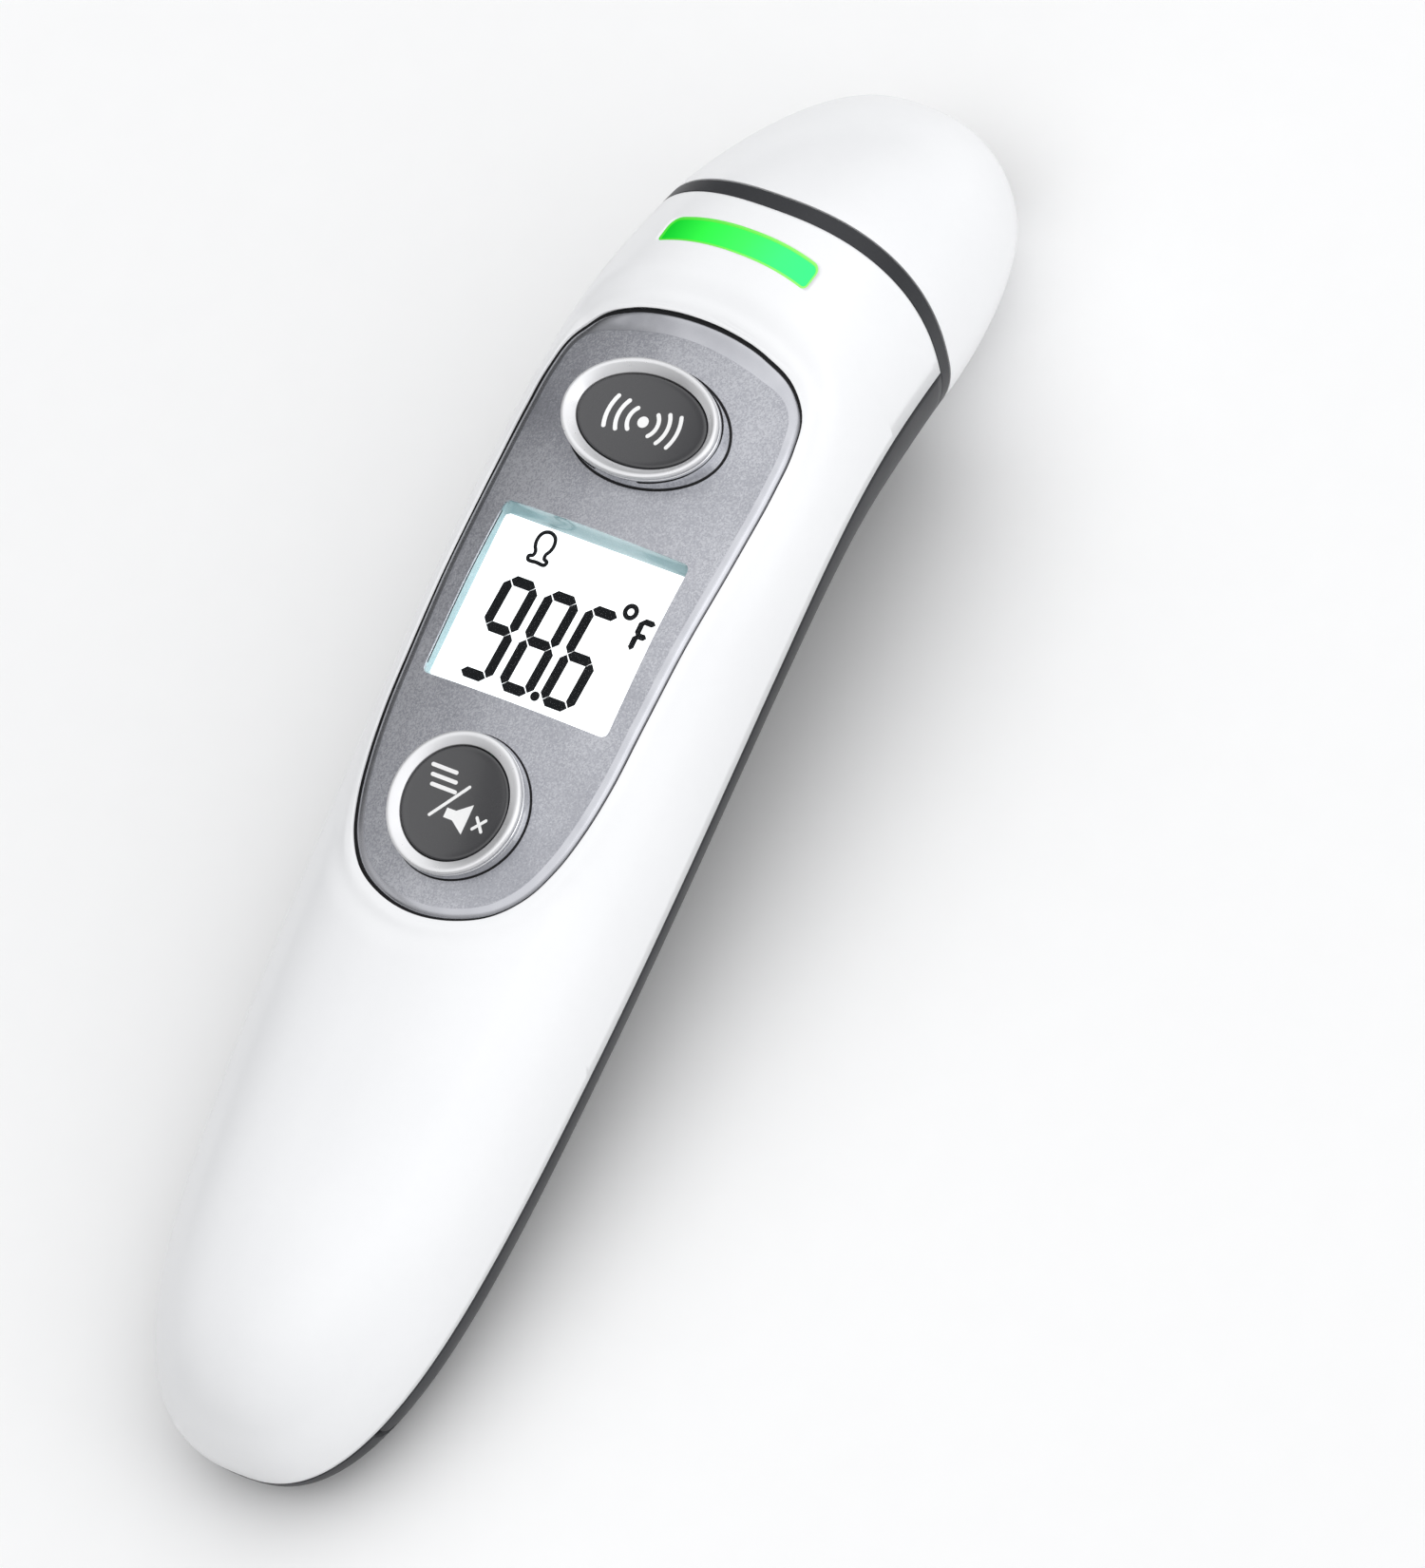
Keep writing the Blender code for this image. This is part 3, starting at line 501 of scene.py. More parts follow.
def glowing(name, stops, span, strength, **sockets):
    """A lit plastic whose colour runs across its span of widths."""
    made = Finish(name, Emission_Strength=strength, **sockets)
    colour = made.ramp(made.sum(made.along("X", *span), made.noise(180.0), 0.08), stops)
    made.to("Base Color", colour).to("Emission Color", colour)
    made.to("Roughness", made.spread(made.noise(400.0), 0.12, 0.22))
    return made.bump(made.noise(900.0, 2.0), 0.04).material


def circuit_board():
    made = Finish("circuit_board", Coat_Weight=0.3)
    tracks = made.node("ShaderNodeTexBrick", {
        "Vector": made.where, "Scale": 240.0, "Color1": (0.02, 0.2, 0.07, 1.0),
        "Color2": (0.03, 0.26, 0.1, 1.0), "Mortar": (0.1, 0.42, 0.2, 1.0),
        "Mortar Size": 0.03})
    made.to("Base Color", tracks.outputs["Color"])
    made.to("Roughness", made.spread(made.noise(700.0), 0.3, 0.5))
    return made.bump(tracks.outputs["Fac"], 0.3).material


def cell_sleeve():
    """The printed plastic sleeve of a cell: a dark body with a copper band at one end."""
    made = Finish("cell_sleeve", Metallic=0.55, Coat_Weight=0.6)
    tone = made.sum(made.along("Y", -65.0, -18.0), made.noise(120.0), 0.05)
    made.to("Base Color", made.ramp(tone, (
        (0.0, (0.62, 0.34, 0.16)), (0.2, (0.62, 0.34, 0.16)), (0.22, (0.05, 0.055, 0.07)),
        (1.0, (0.09, 0.1, 0.12)))))
    made.to("Roughness", made.spread(made.noise(500.0), 0.18, 0.32))
    return made.bump(made.noise(1500.0, 2.0), 0.05).material


WHITE = moulded("white_abs", (0.845, 0.85, 0.862), (0.87, 0.875, 0.885), (0.27, 0.31),
                grain=900.0, grain_depth=0.01, Coat_Weight=0.25, Coat_Roughness=0.12)
DARK = moulded("dark_abs", (0.018, 0.019, 0.022), (0.030, 0.031, 0.035), (0.36, 0.5),
               grain=3200.0, grain_depth=0.4, Specular_IOR_Level=0.35)
KEY = moulded("key_rubber", (0.012, 0.012, 0.015), (0.018, 0.018, 0.022), (0.24, 0.3),
              grain=2600.0, grain_depth=0.06, Coat_Weight=0.9, Coat_Roughness=0.16)
# Near-black colour painted into the seams round the panel and at the foot of the key rings: painted shade
# where the parts meet.
SEAM_SHADE = moulded("painted_seam_shade", (0.003, 0.003, 0.004), (0.006, 0.006, 0.007), (0.5, 0.6),
                 Specular_IOR_Level=0.2)
INK = moulded("white_ink", (0.86, 0.86, 0.86), (0.95, 0.95, 0.95), (0.4, 0.55), grain=4000.0)
SEGMENT = moulded("segment_black", (0.002, 0.002, 0.003), (0.005, 0.005, 0.006), (0.5, 0.6),
                  Specular_IOR_Level=0.1)
INNER = moulded("inner_abs", (0.60, 0.60, 0.59), (0.72, 0.72, 0.71), (0.4, 0.55))
BLACK = moulded("black_epoxy", (0.012, 0.012, 0.013), (0.03, 0.03, 0.032), (0.35, 0.5),
                grain=5000.0, grain_depth=0.4)
FILM = moulded("flex_film", (0.50, 0.22, 0.04), (0.70, 0.36, 0.08), (0.2, 0.35))
TEAL = moulded("window_bevel", (0.30, 0.47, 0.50), (0.46, 0.63, 0.66), (0.12, 0.22),
               blotch=120.0, Coat_Weight=0.5)
CLEAR = moulded("clear_acrylic", (0.10, 0.12, 0.13), (0.14, 0.16, 0.17), (0.02, 0.05), Alpha=0.025)
SILVER = flaked_silver()
CHROME = metal("bright_chrome", (0.84, 0.845, 0.86), (0.93, 0.935, 0.95), (0.06, 0.1))
SATIN = metal("satin_chrome", (0.72, 0.722, 0.735), (0.76, 0.762, 0.775), (0.26, 0.32),
              Metallic=0.6)
BEVEL = metal("satin_bevel", (0.42, 0.425, 0.455), (0.48, 0.485, 0.515), (0.2, 0.26))
STEEL = metal("nickel_steel", (0.50, 0.50, 0.51), (0.70, 0.70, 0.71), (0.2, 0.34))
GOLD = metal("gold_plate", (0.74, 0.52, 0.22), (0.92, 0.70, 0.36), (0.12, 0.24))
DISPLAY = glowing("lit_display", ((0.0, (0.93, 0.98, 1.0)), (1.0, (1.0, 1.0, 1.0))),
                  (-11.0, 11.0), 0.9)
GREEN = glowing("green_light", (
    (0.0, (0.0, 0.38, 0.015)), (0.28, (0.018, 0.60, 0.04)), (0.55, (0.032, 0.65, 0.08)),
    (0.8, (0.034, 0.66, 0.15)), (1.0, (0.03, 0.58, 0.17))), LIGHT_SPAN, 0.6,
    Specular_IOR_Level=0.15)
LIME = glowing("lime_edge", ((0.0, (0.05, 0.50, 0.03)), (1.0, (0.22, 0.72, 0.12))),
               LIGHT_SPAN, 0.5, Specular_IOR_Level=0.15)
BOARD = circuit_board()
SLEEVE = cell_sleeve()


# ---------------------------------------------------------------- front shell
NEAR_PANEL = (50.0, 122.2)
BAND_WIDE = 1.7
SHELL_END = RING_AT - BAND_WIDE - 0.04
LIP_REACH, LIP_UP, LIP_DOWN = 4.6, 0.1, 1.2
BEAD, BEAD_AT, BEAD_WIDE = 0.22, 1.0, 0.8
ROLL, ROLL_REACH = 0.05, 0.3
LENS_GAP, LENS_STEPS = 0.12, 216
TAIL_ROWS = 76


def holed_patch(hole, low, high, across, rows, crowd):
    """Front-skin grid between stations low and high around a hole, as (phi, s) of each point.

    The loops run from the hole to the patch's edge. Their first steps go from the middle of
    the lower edge to its right corner in as many steps as across.
    """
    count = len(hole)
    side = count // 2 - 2 * across
    right = [(math.pi / 2 * (1 - k / across), low) for k in range(across)]
    right += [(0.0, low + (high - low) * k / side) for k in range(side)]
    right += [(math.pi / 2 * k / across, high) for k in range(across)]
    left = [(math.pi / 2, high)] + [(math.pi - p, s) for p, s in reversed(right[1:])]
    edge = np.array(right + left)
    start = np.stack((front_angle(hole[:, 0], hole[:, 1]), hole[:, 1]), -1)
    share = (np.arange(rows + 1) / rows)[:, None, None] ** crowd
    return start * (1 - share) + edge * share


PANEL = closed_curve(mirrored(PANEL_HALF), 400)
OPENING = grown(PANEL, OPENING_OUT)
ACROSS = 48


def lens_outline(by):
    """Long bar that arches with the ring above it, from the middle of its lower edge."""
    half, tall = LENS_HALF + by, LENS_TALL / 2 + by
    box = rounded_box(-half, half, -tall, tall, [r + by for r in LENS_CORNERS])
    box = even(np.concatenate(([(0.0, -tall)], box)), LENS_STEPS)
    lift = LENS_AT - LENS_ARCH * (box[:, 0] / LENS_HALF) ** 2
    return box + np.stack((0 * lift + LENS_MID, lift), -1)


def lip(points):
    """How far, in mm, the skin near the panel opening rises to meet the panel's rim."""
    x, along = OPENING.T
    skin = front_height(x, along)
    rise = np.maximum(panel_height(x, along) + LIP_UP - skin, -LIP_DOWN)
    tree = KDTree(len(OPENING))
    for k, p in enumerate(place(x, along, skin)):
        tree.insert(p, k)
    tree.balance()
    found = np.array([tree.find(p)[1:] for p in points])
    rise, far = rise[found[:, 0].astype(int)], found[:, 1] / MM
    u = np.clip(far / LIP_REACH, 0.0, 1.0)
    fade = (1 - u) ** 2 * (1 + 2 * u)
    roll = ROLL * np.clip(1 - far / ROLL_REACH, 0.0, 1.0) ** 2
    return rise * fade + BEAD * np.exp(-((far - BEAD_AT) / BEAD_WIDE) ** 2) - roll


def raised(phi, s):
    """Points of the front skin with its lip round the panel."""
    x, h = section(s, phi)
    h = np.maximum(h, SEAM / 2)
    base = place(x, s, h)
    return place(x, s, h + lip(base.reshape(-1, 3)).reshape(np.shape(h)))


def front_shell():
    around_panel = holed_patch(OPENING, *NEAR_PANEL, ACROSS, 30, 1.5)
    around_lens = holed_patch(lens_outline(LENS_GAP), NEAR_PANEL[1], SHELL_END, ACROSS, 16, 1.3)
    phi = np.linspace(0.0, math.pi, 2 * ACROSS + 1)
    tail = NEAR_PANEL[0] * (np.arange(1, TAIL_ROWS + 1) / TAIL_ROWS) ** 1.7
    parts = []
    for patch in (around_panel, around_lens):
        rows, cols = patch.shape[:2]
        parts.append((raised(patch[..., 0], patch[..., 1]).reshape(-1, 3),
                      grid_faces(rows, cols, True)))
    rows = raised(*np.meshgrid(phi, tail)).reshape(-1, 3)
    tip = place(0.0, 0.0, SEAM / 2)[None]
    wide = len(phi)
    fan = [(len(rows), k, k + 1) for k in range(wide - 1)]
    parts.append((np.concatenate((rows, tip)), grid_faces(len(tail), wide) + fan))
    return join(*parts)


make("shell_front", *front_shell(), WHITE, "thermometer", "white_shell", ("front_casing",),
     wall=WALL)


# ---------------------------------------------------------------- rear shell, cover and ring
GRIP_FROM, GRIP_TO, GRIP_HALF, GRIP_DEPTH, GRIP_RIDGES = 50.5, 58.8, 6.5, 0.35, 5
COVER_STEPS = 72


def rear_rows(stations, start, end, steps, bumps=False):
    """Rows of the rear skin between two angles per station, counted from +x downwards."""
    share = np.linspace(0.0, 1.0, steps + 1)
    phi = -(start[:, None] + (end - start)[:, None] * share)
    s = np.broadcast_to(stations[:, None], phi.shape)
    x, h = section(s, phi)
    h = np.minimum(h, -SEAM / 2)
    if bumps:
        wave = np.sin(math.pi * (s - GRIP_FROM) / (GRIP_TO - GRIP_FROM) * GRIP_RIDGES) ** 2
        bow = np.clip(1 - (x / GRIP_HALF) ** 6, 0.0, 1.0)
        zone = (s > GRIP_FROM) & (s < GRIP_TO)
        h = h - GRIP_DEPTH * wave * bow * zone
    points = place(x, s, h)
    points[..., 2] = np.maximum(points[..., 2], 0.0)
    return points


def cut_angle(stations, half_cut):
    """The rear skin's angle at width half_cut, or 0 where the skin is narrower."""
    half = depths(stations)[0]
    ratio = np.minimum(half_cut / half, 1.0)
    return np.arccos(ratio ** (curve(stations, *REAR_POWERS) / 2))


def rear_shell():
    strip_s = np.concatenate((np.linspace(2.0, 10.0, 26)[:-1],
                              np.linspace(10.0, COVER_TO + COVER_GAP, 46)))
    inner = cut_angle(strip_s, COVER_HALF + COVER_GAP)
    keep = inner > 0.0
    strip_s, inner = strip_s[keep], inner[keep]
    zero = 0 * strip_s
    right = rear_rows(strip_s, zero, inner, 16)
    left = rear_rows(strip_s, math.pi - inner, zero + math.pi, 16)
    top_s = np.linspace(COVER_TO + COVER_GAP, SHELL_END, 80)
    edge = cut_angle(top_s[:1], COVER_HALF + COVER_GAP)[0]
    phi_from = np.concatenate((np.linspace(0.0, edge, 17)[:-1],
                               np.linspace(edge, math.pi - edge, 65),
                               np.linspace(math.pi - edge, math.pi, 17)[1:]))
    x, h = section(top_s[:, None], -phi_from[None, :])
    top = place(x, top_s[:, None], np.minimum(h, -SEAM / 2))
    parts = [(g.reshape(-1, 3), grid_faces(*g.shape[:2])) for g in (right, left, top)]
    return join(*parts)


def cover_shell():
    s = np.concatenate((COVER_TO * 0.8 * (np.arange(1, 61) / 60) ** 1.7,
                        np.linspace(COVER_TO * 0.8, COVER_TO, 73)[1:]))
    inner = cut_angle(s, COVER_HALF)
    rows = rear_rows(s, inner, math.pi - inner, COVER_STEPS, bumps=True)
    points = np.concatenate((rows.reshape(-1, 3), place(0.0, 0.0, -SEAM / 2)[None]))
    fan = [(len(points) - 1, k + 1, k) for k in range(COVER_STEPS)]
    return points, grid_faces(*rows.shape[:2]) + fan


make("shell_rear", *rear_shell(), DARK, "thermometer", "grey_shell", ("rear_casing",), wall=WALL)
make("cover_back", *cover_shell(), DARK, "cover", "grey_shell", ("battery_cover",), wall=WALL)


def skin_loops(profile):
    """Loops round the spine from (station, inset) or (station, None, radius)."""
    phi = around(160)
    loops = []
    for entry in profile:
        if entry[1] is None:
            x, h = entry[2] * np.cos(phi), entry[2] * np.sin(phi)
        else:
            x, h = section(entry[0], phi, entry[1])
        loops.append(place(x, entry[0], h))
    return loops


# The collar: a band flush with the skin, a plate with a round hole, and the boss under the cap.
COLLAR_HOLE, PLATE_AT = 10.3, RING_AT - 0.6
BAND_AT, BOSS_END = RING_AT - BAND_WIDE, RING_AT + 5.0
COLLAR = [
    (RING_AT, 0.12), (RING_AT - 0.12, 0.0), (RING_AT - 0.85, 0.0), (BAND_AT + 0.12, 0.0),
    (BAND_AT, 0.1), (BAND_AT, 3.0), (BAND_AT, None, COLLAR_HOLE), (PLATE_AT, None, COLLAR_HOLE),
    (PLATE_AT, 3.2), (BOSS_END, 3.2), (BOSS_END, 2.6), (BOSS_END - 0.4, 2.2), (RING_AT, 2.2),
]
make("ring_collar", *loft(skin_loops(COLLAR), ring=True), DARK, "thermometer", "grey_shell",
     ("head_collar",))

# ---------------------------------------------------------------- cap
CAP_FROM, CAP_TO = RING_AT + 0.12, RING_AT + CAP_LONG
CAP_MOUTH_R = CAP_HOLE_R - 0.9


def cap_shell():
    """The cap's outer skin, flat where the part rests on it, then its inner skin."""
    turn = np.linspace(0.0, math.pi / 2, 72)
    outer = CAP_TO - (CAP_TO - CAP_FROM) * (1 - np.sin(turn))
    loops, phi = [], around(176)
    for s in outer:
        x, h = section(s, phi)
        row = place(x, s, h)
        row[:, 2] = np.maximum(row[:, 2], 0.0)
        loops.append(row)
    for s in [*outer[::-1][::3], CAP_FROM]:
        x, h = section(s, phi, CAP_WALL, CAP_MOUTH_R)
        loops.append(place(x, CAP_FROM + (s - CAP_FROM) * (CAP_LONG - CAP_WALL) / CAP_LONG, h))
    return loft(loops, ring=True)


make("cap_shell", *cap_shell(), WHITE, "cap", "white_shell", ("forehead_cap",))
# Round parts of the head: (radius, height above the ring) in a plane across its axis.
HEAD = Plane(place(0.0, RING_AT, 0.0), place(0.0, RING_AT, 0.0) - place(0.0, RING_AT, 1.0))
ROUND = (0.0, 0.0)
TIP_TOP, TIP_FOOT = CAP_LONG - 0.45, CAP_LONG - 2.4
TIP_PROFILE = arc(5.35, TIP_TOP, 0.15, 0, 90, 4) + arc(4.95, TIP_TOP, 0.15, 90, 180, 4) + [
    (4.8, TIP_FOOT), (5.5, TIP_FOOT)]
make("cap_ring", *loft(oval_loops(HEAD, TIP_PROFILE, ROUND, 72), ring=True), DARK, "cap", "grey_shell",
     ("cap_tip_ring",))
PROBE = [
    (11.4, -4.6), (11.4, -2.6), (10.0, -2.4), (10.0, 1.0), (9.75, 2.0), (9.4, 3.0), (8.9, 4.8),
    (7.9, 8.0), (6.4, 13.0), (5.2, 17.0), (4.75, 18.6), (4.45, 19.3), (4.0, 19.9), (3.6, 20.12),
    (3.2, 20.2), (2.8, 20.15), (2.6, 19.9), (2.6, 16.0), (3.6, 15.2), (3.6, -4.6),
]
make("probe_cone", *loft(oval_loops(HEAD, PROBE, ROUND, 96), ring=True), WHITE, "thermometer",
     "white_shell", ("ear_probe",))

# ---------------------------------------------------------------- front panel
def panel_stretch(s):
    """Length along the panel's middle line for one step of station."""
    step = np.array((s - 0.5, s + 0.5))
    ends = place(0.0, step, panel_height(0.0, step))
    return np.linalg.norm(ends[1] - ends[0]) / MM


def key_hole(at, half):
    return ellipse(half[0] + HOLE_OUT, (half[1] + HOLE_OUT) / panel_stretch(at), 120, (0.0, at))


def panel_at(sunk):
    """The surface a depth under the panel's, as (x, station) to point."""
    return lambda x, s: place(x, s, panel_height(x, s) - sunk)


HOLE_OUT = 0.6
LCD_OUTLINE = rounded_box(-LCD_HALF, LCD_HALF, LCD_FROM, LCD_TO, LCD_CORNER)
panel_holes = [even(LCD_OUTLINE, 240), key_hole(MODE_AT, MODE_R), key_hole(SCAN_AT, SCAN_R)]
make("panel_plate", *slab(grown(PANEL, 0.1), panel_holes, panel_at(0.0), panel_at(PANEL_THICK), 0.9),
     SILVER, "thermometer", "silver_panel", ("faceplate",))


def outline_loops(outline, profile, top):
    """Loops along an outline from (outward, up) pairs on the surface top(x, s)."""
    loops = []
    for out, up in profile:
        edge = grown(outline, out)
        loops.append(place(edge[:, 0], edge[:, 1], top(edge[:, 0], edge[:, 1]) + up))
    return loops


BEVEL_IN, BEVEL_OUT, TOP_BEVEL = -0.15, 0.88, 0.5


def climbing(profile):
    """Rim profile per outline point: where the skin stands above the panel it widens and climbs."""
    x, along = OPENING.T
    rise = np.maximum(front_height(x, along) - LIP_DOWN - LIP_UP - panel_height(x, along), 0.0)
    found = []
    for out, up in profile:
        share = np.clip((out - BEVEL_IN) / (BEVEL_OUT - BEVEL_IN), 0.0, 1.0)
        found.append((out - TOP_BEVEL * np.minimum(rise, 1.0) * (1 - share), up + rise * share**1.6))
    return found


RIM = [(BEVEL_OUT, -1.4), (BEVEL_OUT, -0.34)]
RIM += [(0.86 - 0.95 * (1 - math.cos(a)), -0.34 + 0.36 * math.sin(a))
        for a in np.linspace(0.15, math.pi / 2, 12)]
RIM += [(BEVEL_IN, 0.02), (BEVEL_IN, -0.6), (0.0, -1.4)]
make("panel_bevel", *loft(outline_loops(PANEL, climbing(RIM), panel_height), ring=True), BEVEL,
     "thermometer", "chrome_trim", ("faceplate_rim",), crease=50)
# The groove round the panel is real geometry; its near-black colour is painted shade.
GROOVE = [(0.84, -0.9), (0.84, -0.3), (OPENING_OUT + 0.1, -0.26), (OPENING_OUT + 0.1, -0.9)]
make("panel_groove", *loft(outline_loops(PANEL, climbing(GROOVE), panel_height), ring=True), SEAM_SHADE,
     "thermometer", "chrome_trim")

# ---------------------------------------------------------------- display
LCD_MID, LCD_SUNK = (LCD_FROM + LCD_TO) / 2, 1.5
LCD_PLANE = panel_plane(LCD_MID, x=LCD_HALF, sunk=LCD_SUNK)
LCD_HALF_TALL = (LCD_TO - LCD_FROM) / 2 * panel_stretch(LCD_MID)
LCD_STEPS, FACE_CORNER = 160, 0.5
SIDE_SLOPE, LOW_SLOPE, TOP_SLOPE = 0.15, 0.05, 1.03
WELL_FOOT = -0.3


def lcd_box(left, right, low, high):
    """A rounded box in the display's plane from insets of its four sides."""
    return even(rounded_box(-LCD_HALF + left, LCD_HALF - right, -LCD_HALF_TALL + low,
                            LCD_HALF_TALL - high, FACE_CORNER), LCD_STEPS)


def display_well():
    """The tinted wall between the panel's opening and the display."""
    edge, foot = even(LCD_OUTLINE, LCD_STEPS), lcd_box(SIDE_SLOPE, LOW_SLOPE, LOW_SLOPE, TOP_SLOPE)
    outer, under = grown(edge, 0.55), grown(foot, 0.9)
    first, back = (panel_at(d)(*outer.T) for d in (0.25, PANEL_THICK + 0.2))
    top = [panel_at(d)(*edge.T) for d in (0.25, 0.45)]
    low, sole = (LCD_PLANE.at(*foot.T, z) for z in (0.0, WELL_FOOT))
    middle = [top[1] * (1 - t) + low * t for t in (0.33, 0.66)]
    return loft([first, *top, *middle, low, sole, LCD_PLANE.at(*under.T, WELL_FOOT), back], ring=True)


make("display_well", *display_well(), TEAL, "thermometer", "clear_cover", crease=60)
make("display_face", *slab(lcd_box(-0.1, -0.1, -0.1, -0.1), [],
                           lambda x, y: LCD_PLANE.at(x, y, -0.02),
                           lambda x, y: LCD_PLANE.at(x, y, -1.4), 3.0),
     DISPLAY, "thermometer", "display_glass", ("lcd_glass",))
WINDOW_GAP = 0.03
window = rounded_box(-LCD_HALF + WINDOW_GAP, LCD_HALF - WINDOW_GAP, LCD_FROM + WINDOW_GAP,
                     LCD_TO - WINDOW_GAP, LCD_CORNER)
make("display_cover", *slab(even(window, LCD_STEPS), [], panel_at(0.06), panel_at(0.24), 2.0), CLEAR,
     "thermometer", "clear_cover", ("display_window",))


def stroke(points, width, closed=False):
    """Outline of a line of constant width with round ends, or the two outlines of a loop."""
    points = np.array(points, float)
    if closed:
        return grown(points, width / 2), grown(points, -width / 2)
    along = np.gradient(points, axis=0)
    along /= np.linalg.norm(along, axis=1)[:, None]
    side = np.stack((along[:, 1], -along[:, 0]), -1) * width / 2
    ends = []
    for point, way in ((points[-1], along[-1]), (points[0], -along[0])):
        start = math.atan2(way[1], way[0]) - math.pi / 2
        ends.append(np.array([point + width / 2 * np.array((math.cos(start + a), math.sin(start + a)))
                              for a in np.linspace(0, math.pi, 9)[1:-1]]))
    return np.concatenate((points + side, ends[0], (points - side)[::-1], ends[1]))


def marks(shapes, upper, thick, spacing):
    """Thin raised shapes on a surface; each shape is an outline or (outline, hole)."""
    parts = []
    for shape in shapes:
        outline, holes = (shape[0], [shape[1]]) if isinstance(shape, tuple) else (shape, [])
        parts.append(slab(outline, holes, lambda x, y: upper(x, y, 0.0),
                          lambda x, y: upper(x, y, -thick), spacing))
    return join(*parts)


# Digits: segments a to g as bars between the corners (across, up) of a figure.
DIGIT_WIDE, DIGIT_TALL, DIGIT_STEP, BAR, SLANT = 3.15, 10.45, 5.08, 1.1, 0.36
SEGMENTS = {
    "a": ((0, 2), (1, 2)), "b": ((1, 2), (1, 1)), "c": ((1, 1), (1, 0)), "d": ((0, 0), (1, 0)),
    "e": ((0, 1), (0, 0)), "f": ((0, 2), (0, 1)), "g": ((0, 1), (1, 1)),
}
MARK_UP = 0.03
# Right half of a plain head sign.
HEAD_SIGN = ((0.0, -1.8), (1.1, -1.7), (1.15, -1.45), (0.68, -1.2), (0.62, -0.85), (0.95, -0.2),
             (1.05, 0.5), (0.75, 1.25), (0.0, 1.55))
LIT = {"9": "abcdfg", "8": "abcdefg", "6": "acdefg"}


def segment(start, end, width=BAR, gap=0.07):
    """A bar with pointed ends between two corners."""
    a, b = np.array(start, float), np.array(end, float)
    way = (b - a) / np.linalg.norm(b - a)
    side = np.array((way[1], -way[0])) * width / 2
    a, b = a + way * gap, b - way * gap
    shoulder = way * width / 2
    return np.array([a, a + shoulder + side, b - shoulder + side, b, b - shoulder - side,
                     a + shoulder - side])


def reading():
    """The generic reading, its dot, the unit marks and a plain head sign."""
    top = LCD_HALF_TALL - TOP_SLOPE
    left = -LCD_HALF + SIDE_SLOPE
    shapes = []
    for number, digit in enumerate("986"):
        x0, y0 = left + 3.15 + number * DIGIT_STEP, top - 6.3 - DIGIT_TALL
        for key in LIT[digit]:
            corners = [(x0 + DIGIT_WIDE * u + SLANT * v, y0 + DIGIT_TALL / 2 * v)
                       for u, v in SEGMENTS[key]]
            shapes.append(segment(*corners))
    shapes.append(ellipse(0.52, 0.52, 24, (left + 12.4, top - 16.7)))
    shapes.append(stroke(ellipse(0.64, 0.64, 32, (left + 18.25, top - 5.25)), 0.52, True))
    ux, uy = left + 20.0, top - 8.9
    for a, b in (((0, 3.2), (1.5, 3.2)), ((0, 1.6), (1.2, 1.6)), ((0, 3.2), (0, 1.6)),
                 ((0, 1.6), (0, 0))):
        shapes.append(segment((ux + a[0], uy + a[1]), (ux + b[0], uy + b[1]), 0.66, -0.05))
    sign = np.array(mirrored(HEAD_SIGN)) + (left + 5.7, top - 2.0)
    shapes.append(stroke(closed_curve(sign, 90), 0.4, True))
    return shapes


make("display_reading", *marks(reading(), lambda x, y, z: LCD_PLANE.at(x, y, MARK_UP + z), 0.05, 1.5),
     SEGMENT, "thermometer", "display_glass")

# ---------------------------------------------------------------- keys
DISH, KEY_ROUND, SIGN_THICK = 0.4, 0.22, 0.12
FOOT = -1.4                 # how far the rings reach below the panel


def seated_loops(at, profile, half, crest):
    """Loops of an oval ring whose lower part follows the panel under it."""
    plane, turn = panel_plane(at), around(120)
    loops = []
    for out, z in profile:
        x, y = (half[0] + out) * np.cos(turn), (half[1] + out) * np.sin(turn)
        s = at + y / panel_stretch(at)
        under = (place(x, s, panel_height(x, s)) - plane.origin) @ plane.up / MM
        loops.append(plane.at(x, y, z + under * (1 - np.clip(z / crest, 0.0, 1.0))))
    return loops


def key_ring(name, at, half, up, crest, wide, flare, replaced):
    """A satin band that rises outwards from the key, over a polished skirt."""
    edge = wide - 0.1
    band = [(0.12, FOOT), (0.12, up - 0.1), *arc(0.24, up - 0.1, 0.12, 180, 110, 4),
            (edge - 0.62, crest - 0.05), (edge - 0.4, crest), *arc(edge - 0.3, crest - 0.3, 0.3, 80, 0, 7),
            (edge, crest - 0.45), (edge - 0.2, crest - 0.5), (edge - 0.2, FOOT)]
    make(name, *loft(oval_loops(panel_plane(at), band, half), ring=True), SATIN, "thermometer",
         "chrome_trim", (replaced,), crease=50)
    skirt = [(edge - 0.3, crest - 0.52), (edge - 0.03, crest - 0.52),
             *arc(edge - 0.04, crest - 0.6, 0.08, 90, 0, 4), (edge + 0.04, crest - 0.85),
             (edge - 0.02, crest - 0.92), (edge + 0.1, crest * 0.3), (wide + flare, 0.02),
             (wide + flare, -0.15), (wide, -0.5), (wide, FOOT), (edge - 0.3, FOOT)]
    make(name + "_skirt", *loft(seated_loops(at, skirt, half, crest), ring=True), CHROME,
         "thermometer", "chrome_trim", crease=50)
    # A near-black line at the foot of each ring's skirt: painted shade where the ring meets the panel.
    line = [(wide + flare + o, z)
            for o, z in ((-0.1, -0.3), (-0.02, 0.06), (0.14, 0.05), (0.17, -0.3))]
    make(name + "_line", *loft(seated_loops(at, line, half, crest), ring=True), SEAM_SHADE,
         "thermometer", "chrome_trim")


def key_surface(at, half, up):
    """The key top as (x, y, z above it) to a point: a shallow dish."""
    plane = panel_plane(at)

    def surface(x, y, z=0.0):
        r2 = (x / half[0]) ** 2 + (y / half[1]) ** 2
        return plane.at(x, y, up - DISH * (1 - np.minimum(r2, 1.0)) + z)
    return plane, surface


